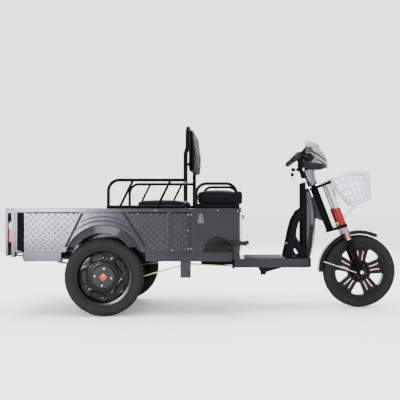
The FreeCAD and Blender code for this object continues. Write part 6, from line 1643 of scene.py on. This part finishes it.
class TRICYCLE_OT_head(bpy.types.Operator):
    """Shape the head cowl, its lamp and screen, the neck cover, the horn and the hanging key"""

    bl_idname = "tricycle.head"
    bl_label = "Steering Head"

    def execute(self, context):
        self.cowl()
        self.lamp()
        self.screen()
        self.neck()
        self.horn()
        self.spare_key()
        return {"FINISHED"}

    @staticmethod
    def cowl():
        """Cowl shell and the dark ports in its sides where the handlebar comes out."""
        Skin().tube(cowl_grid(44)).piece("head_cowl", "cowl_coat", "head_silver", "steering", 30,
                                         ("headlight_housing",))
        outline = rounded_rings(np.array([PORT_CORNERS]), 9.0)[0]
        ports = Skin()
        for sign in SIGNS:
            rings = []
            for size, lift in ((1.0, -8.0), (1.0, 1.0), (0.93, 1.8), (0.86, 1.2), (0.05, 1.0)):
                x, z = (PORT_MIDDLE + (outline - PORT_MIDDLE) * size).T
                rings.append(np.stack((COWL_X + x, sign * (cowl_side(x, z) + lift), COWL_Z + z), -1))
            ports.tube(np.stack(rings))
        ports.piece("bar_ports", "gloss_plastic", "black_plastic", "steering", 40)

    @staticmethod
    def lamp():
        """Lamp front over a dark surround: a profile down the cowl's nose, swept back at the sides by
        34 (1 - b) with the bulge b = 1 - |y|^2.6."""
        t = np.linspace(0, 1, LAMP_STEPS)[:, None]
        half = 52.0 + 14.0 * np.sin(t * math.pi * 0.6)
        for name, finish, slot, reach, corners, shift, replaced in LAMP_PARTS:
            y = np.linspace(-reach, reach, 48)[None]
            profile = resampled(corners, LAMP_STEPS)
            bulge = 1 - np.abs(y) ** 2.6
            x = profile[:, :1] - (1 - bulge) * LAMP_SWEEP + shift
            z = profile[:, 1:] - (1 - bulge) * 3.0
            front = np.stack((COWL_X + x, y * half, COWL_Z + z), -1)
            Skin().shell(front, front - LAMP_DEPTH).piece(name, finish, slot, "steering", 50, replaced)

    @staticmethod
    def screen():
        """Screen bent round the cowl: plan x = 89 - 84 y^2, its top edge 128 high at the sides and 106
        in front."""
        t = np.linspace(0, 1, 16)[:, None]
        y = np.linspace(-1, 1, 64)[None]
        half = SCREEN_HALF - SCREEN_LEAN * t
        x = SCREEN_NOSE - SCREEN_SWEEP * np.abs(y) ** 2.0 - SCREEN_LEAN * t
        low, high = SCREEN_LOW + 5.0 * y ** 2, SCREEN_TOP + SCREEN_EARS * np.abs(y) ** 1.6
        z = low + (high - low) * t
        outer = np.stack((COWL_X + x, y * half, COWL_Z + z), -1)
        Skin().shell(outer, outer - SCREEN_DEPTH).piece(
            "wind_screen", "screen_sheet", "dark_screen", "steering", 50, ("windscreen",))

    @staticmethod
    def neck():
        """Tapered cover round the steering stem between the upper crown and the cowl."""
        wall = resampled(NECK_PROFILE[1:-1], 40)
        whole = np.concatenate((NECK_PROFILE[:1], wall, NECK_PROFILE[-1:]))
        foot = on_fork((STEER_OFFSET, 0, 0))
        points = turned(whole, 64, foot, FORK_UP, FORK_SIDE)
        forward = (points - foot) @ FORK_SIDE
        spread = 0.1 * forward + 9.0 * eased((points - foot) @ FORK_UP, 640.0, 712.0) * (forward > -12.0)
        points = points + spread[..., None] * FORK_SIDE
        Skin().grid(points, wrap_u=True, wrap_v=True).piece(
            "neck_cover", "silver_lacquer", "head_silver", "steering", 50)

    @staticmethod
    def horn():
        """Horn: a stepped back, a flared bell with a rolled edge and a ringed face, turned about the
        fork's forward axis, and its strap."""
        middle = on_fork((0, STRAP_MIDDLE[1], STRAP_LEVELS[0]))
        skin = Skin().tube(turned(resampled(HORN_PROFILE, 80), 56, middle, FORK_SIDE, FORK_UP))
        edge = np.array(((-1, -1), (1, -1), (1, 1), (-1, 1))) * STRAP_SIZE + STRAP_MIDDLE
        skin.tube(np.stack([on_fork(laid(edge, up)) for up in STRAP_LEVELS]))
        skin.piece("horn_body", "cream_plastic", "horn_cream", "steering", 45, ("horn",))

    @staticmethod
    def spare_key():
        """Second key, hung from the first one's bow by a wire ring: a rounded bow with a slim blade."""
        circle = upright(ring(KEY_RING_RADIUS, 32) + KEY_RING, 0.0)
        hoop = swept(circle, ring(KEY_RING_WIRE, 8), ACROSS, True)
        Skin().grid(hoop, wrap_u=True, wrap_v=True).piece("key_ring", "chrome", "steel", "key")
        for name, finish, slot, outline, middle, thick in KEY_PARTS:
            edge = outline + np.add(KEY_RING, middle)
            levels = np.stack([upright(edge, y) for y in (-thick, thick)])
            Skin().tube(levels).piece(name, finish, slot, "key")


# Basket

BASKET_LOW, BASKET_TALL, BASKET_LEVEL = 405.0, 210.0, 858.0
BASKET_FOOT, BASKET_RIM = (96.0, 226.0, 112.0), (26.0, 282.0, 150.0)
BASKET_HOOPS = (
    # share of the wall's height, half thickness, half height
    (0.03, 3.5, 6.0), (0.28, 2.4, 3.2), (0.51, 2.4, 3.2), (0.74, 2.4, 3.2), (0.955, 3.6, 9.5),
)
RIM_SOFTNESS = 24.0
# Bars of the floor: those across, with half length and height, and those along, with ends and height
CROSS_BARS, CROSS_HALF, CROSS_UP = np.linspace(110.0, 212.0, 5), 109.0, 407.5
LONG_BARS, LONG_ENDS, LONG_UP = np.linspace(-90.0, 90.0, 8), (99.0, 223.0), 408.2


def basket_ring(measures, up, count):
    """Rounded rectangle of (rear, front, half width) at a height along the fork."""
    rear, front, half = measures
    outline = resampled(loop((front - rear) / 2 - 2.5, half - 2.5, 26.0, 12), count, True)
    return on_fork(laid(outline + ((front + rear) / 2, 0), up))


def basket_walls(count):
    """Ends of the wall's lines; the upper ones stop at the level front rim by
    t = -log(e^-k + e^(-k s)) / k, where s is the share of the wall below that level."""
    low = basket_ring(BASKET_FOOT, BASKET_LOW, count)
    high = basket_ring(BASKET_RIM, BASKET_LOW + BASKET_TALL, count)
    share = (BASKET_LEVEL - low[:, 2:]) / (high[:, 2:] - low[:, 2:])
    soft = -np.log(math.exp(-RIM_SOFTNESS) + np.exp(-RIM_SOFTNESS * share)) / RIM_SOFTNESS
    return low, low + (high - low) * soft


class TRICYCLE_OT_basket(bpy.types.Operator):
    """Mould the front basket: rim, hoops, ribs and floor bars"""

    bl_idname = "tricycle.basket"
    bl_label = "Basket"

    def execute(self, context):
        skin = Skin()
        low, high = basket_walls(160)
        for share, width, tall in BASKET_HOOPS:
            profile = loop(tall, width, 1.8, 4)[:, ::-1] * (1, -1)
            skin.grid(swept(low + (high - low) * share, profile, FORK_UP, True), wrap_u=True, wrap_v=True)
        for start, end in zip(*basket_walls(context.scene.tricycle_look.basket_ribs)):
            outward = unit(np.cross(end - start, np.cross(FORK_UP, end - start)))
            path = resampled((start, start + (end - start) * 0.97), 6)
            skin.tube(swept(path, loop(3.2, 1.9, 1.2, 3), outward))
        bar = loop(2.6, 1.8, 1.2, 3)
        runs = [[(x, end, CROSS_UP) for end in (-CROSS_HALF, CROSS_HALF)] for x in CROSS_BARS]
        runs += [[(end, y, LONG_UP) for end in LONG_ENDS] for y in LONG_BARS]
        for run in runs:
            skin.tube(swept(on_fork(resampled(run, 6)), bar, FORK_UP))
        skin.piece("moulded_basket", "basket_plastic", "basket_white", "steering", 50, ("basket",))
        return {"FINISHED"}


# Stage

CAMERA_PLACE = (0.188, -4.23, 0.64)
CAMERA_LENS, CAMERA_SENSOR, CAMERA_SHIFT = 59.65, 36.0, (-0.1, 0.016)
LIGHTS = (
    # name, place and target in metres, size, power
    ("key_light", (-2.06, -4.2, 0.62), (-0.95, 0, 0.5), 0.75, 200.0),
    ("fill_light", (1.05, -4.2, 0.75), (0.6, 0, 0.5), 0.35, 6.0),
    ("top_light", (-0.4, -0.6, 4.4), (0, 0, 0.4), 3.0, 260.0),
    ("back_light", (-0.6, 4.6, 3.0), (0, 0, 0.3), 4.0, 260.0),
)
SKY_STRENGTH = 2.6
# Rings of the floor disc in metres, its corners, and its height below the tyres
DISC_RINGS, DISC_SIDES, DISC_Z = (0.02, 2.0, 8.0, 40.0), 64, -0.5


class TRICYCLE_OT_stage(bpy.types.Operator):
    """Set the pale floor, the soft lights and the camera at the photograph's viewing angle"""

    bl_idname = "tricycle.stage"
    bl_label = "Stage"

    def execute(self, context):
        scene = context.scene
        self.floor(scene)
        self.world(scene)
        for name, place, target, size, power in LIGHTS:
            lamp = bpy.data.lights.new(name, "AREA")
            lamp.size = size
            lamp.energy = power
            holder = bpy.data.objects.new(name, lamp)
            holder.location = place
            aim = Vector(target) - Vector(place)
            holder.rotation_euler = aim.to_track_quat("-Z", "Y").to_euler()
            scene.collection.objects.link(holder)
        lens = bpy.data.cameras.new("camera")
        lens.lens, lens.sensor_width = CAMERA_LENS, CAMERA_SENSOR
        lens.shift_x, lens.shift_y = CAMERA_SHIFT
        camera = bpy.data.objects.new("camera", lens)
        camera.location = CAMERA_PLACE
        camera.rotation_euler = Vector((0, 1, 0)).to_track_quat("-Z", "Y").to_euler()
        scene.collection.objects.link(camera)
        scene.camera = camera
        return {"FINISHED"}

    @staticmethod
    def floor(scene):
        """Flat disc: radius s times (cos t, sin t)."""
        points = np.stack([laid(ring(size / MM, DISC_SIDES), DISC_Z) for size in DISC_RINGS])
        mesh = bpy.data.meshes.new("floor")
        rows, corners = np.arange(len(DISC_RINGS) - 1)[:, None] * DISC_SIDES, np.arange(DISC_SIDES)
        first, after = rows + corners, rows + (corners + 1) % DISC_SIDES
        quads = np.stack((first, first + DISC_SIDES, after + DISC_SIDES, after), -1).reshape(-1, 4)
        faces = quads.tolist() + [corners.tolist()]
        mesh.from_pydata((points.reshape(-1, 3) * MM).tolist(), [], faces)
        mesh.materials.append(finish_of("studio_floor"))
        floor = bpy.data.objects.new("floor", mesh)
        scene.collection.objects.link(floor)

    @staticmethod
    def world(scene):
        world = bpy.data.worlds.new("studio")
        world.use_nodes = True
        sky = world.node_tree.nodes["Background"]
        sky.inputs["Color"].default_value = (1.0, 1.0, 1.0, 1.0)
        sky.inputs["Strength"].default_value = SKY_STRENGTH
        scene.world = world


class TricycleLook(bpy.types.PropertyGroup):
    """Colours and sizes that a user would change"""

    paint: FloatVectorProperty(name="Body paint", description="Colour of the panels", subtype="COLOR",
                               min=0, max=1, default=(0.0215, 0.0195, 0.0245))
    enamel: FloatVectorProperty(name="Tube enamel", description="Colour of rails, armrests and frame tubes",
                                subtype="COLOR", min=0, max=1, default=(0.003, 0.003, 0.0035))
    red: FloatVectorProperty(name="Fork red", description="Colour of fork sleeves and springs",
                             subtype="COLOR", min=0, max=1, default=(0.17, 0.003, 0.004))
    silver: FloatVectorProperty(name="Head silver", description="Colour of the head cowl", subtype="COLOR",
                                min=0, max=1, default=(0.1, 0.108, 0.13))
    basket: FloatVectorProperty(name="Basket", description="Colour of the basket", subtype="COLOR",
                                min=0, max=1, default=(0.46, 0.45, 0.56))
    vinyl: FloatVectorProperty(name="Seat vinyl", description="Colour of the seat covers", subtype="COLOR",
                               min=0, max=1, default=(0.005, 0.006, 0.0068))
    tyre: FloatVectorProperty(name="Tyre", description="Colour of the tyres", subtype="COLOR",
                              min=0, max=1, default=(0.011, 0.011, 0.0104))
    mark: FloatVectorProperty(name="Hub mark", description="Colour of the plain square on the rear hubs",
                              subtype="COLOR", min=0, max=1, default=(0.28, 0.022, 0.002))
    lamp: FloatVectorProperty(name="Tail lamp", description="Colour of the tail lamps", subtype="COLOR",
                              min=0, max=1, default=(0.4, 0.01, 0.012))
    screen: FloatVectorProperty(name="Screen", description="Colour of the small screen", subtype="COLOR",
                                min=0, max=1, default=(0.4, 0.41, 0.36))
    bar_pitch: FloatProperty(name="Chequer pitch", description="Distance between chequer bars in mm", min=12,
                             default=36.0)
    floor_pitch: FloatProperty(name="Floor pitch", description="Distance between the bed floor's bars in mm",
                               min=20, default=48.0)
    bar_length: FloatProperty(name="Bar length", description="Length of a chequer bar in mm", min=8,
                              default=23.5)
    bar_width: FloatProperty(name="Bar width", description="Width of a chequer bar in mm", min=2,
                             default=8.0)
    bar_height: FloatProperty(name="Bar height", description="Height of a chequer bar in mm", min=0.5,
                              default=2.8)
    tread_blocks: IntProperty(name="Tread blocks", description="Shoulder blocks round a tyre", min=24,
                              default=52)
    tread_depth: FloatProperty(name="Tread depth", description="Depth of the tread in mm", min=1,
                               default=4.0)
    boot_pleats: IntProperty(name="Boot pleats", description="Pleats of the parking brake's boot", min=4,
                             default=9)
    stud_pitch: FloatProperty(name="Stud pitch", description="Distance between mat studs in mm", min=8,
                              default=12.0)
    basket_ribs: IntProperty(name="Basket ribs", description="Upright ribs round the basket", min=16,
                             default=24)


OPERATORS = (
    TRICYCLE_OT_stage, TRICYCLE_OT_frame, TRICYCLE_OT_chequer, TRICYCLE_OT_trim, TRICYCLE_OT_vents,
    TRICYCLE_OT_wheels, TRICYCLE_OT_springs, TRICYCLE_OT_boot, TRICYCLE_OT_mat, TRICYCLE_OT_grips,
    TRICYCLE_OT_head, TRICYCLE_OT_basket, TRICYCLE_OT_seats,
)


class TRICYCLE_PT_dress(bpy.types.Panel):
    """Lists the operators and the look's colours and sizes"""

    bl_label = "Cargo Tricycle"
    bl_idname = "TRICYCLE_PT_dress"
    bl_space_type = "VIEW_3D"
    bl_region_type = "UI"
    bl_category = "Tricycle"

    def draw(self, context):
        look = context.scene.tricycle_look
        for name in look.__annotations__:
            self.layout.prop(look, name)
        for operator in OPERATORS:
            self.layout.operator(operator.bl_idname)


CLASSES = (TricycleLook, *OPERATORS, TRICYCLE_PT_dress)


def register():
    for item in CLASSES:
        bpy.utils.register_class(item)
    bpy.types.Scene.tricycle_look = PointerProperty(type=TricycleLook)


def unregister():
    del bpy.types.Scene.tricycle_look
    for item in reversed(CLASSES):
        bpy.utils.unregister_class(item)


def main():
    register()
    for operator in OPERATORS:
        group, name = operator.bl_idname.split(".")
        getattr(getattr(bpy.ops, group), name)()


if __name__ == "__main__":
    main()
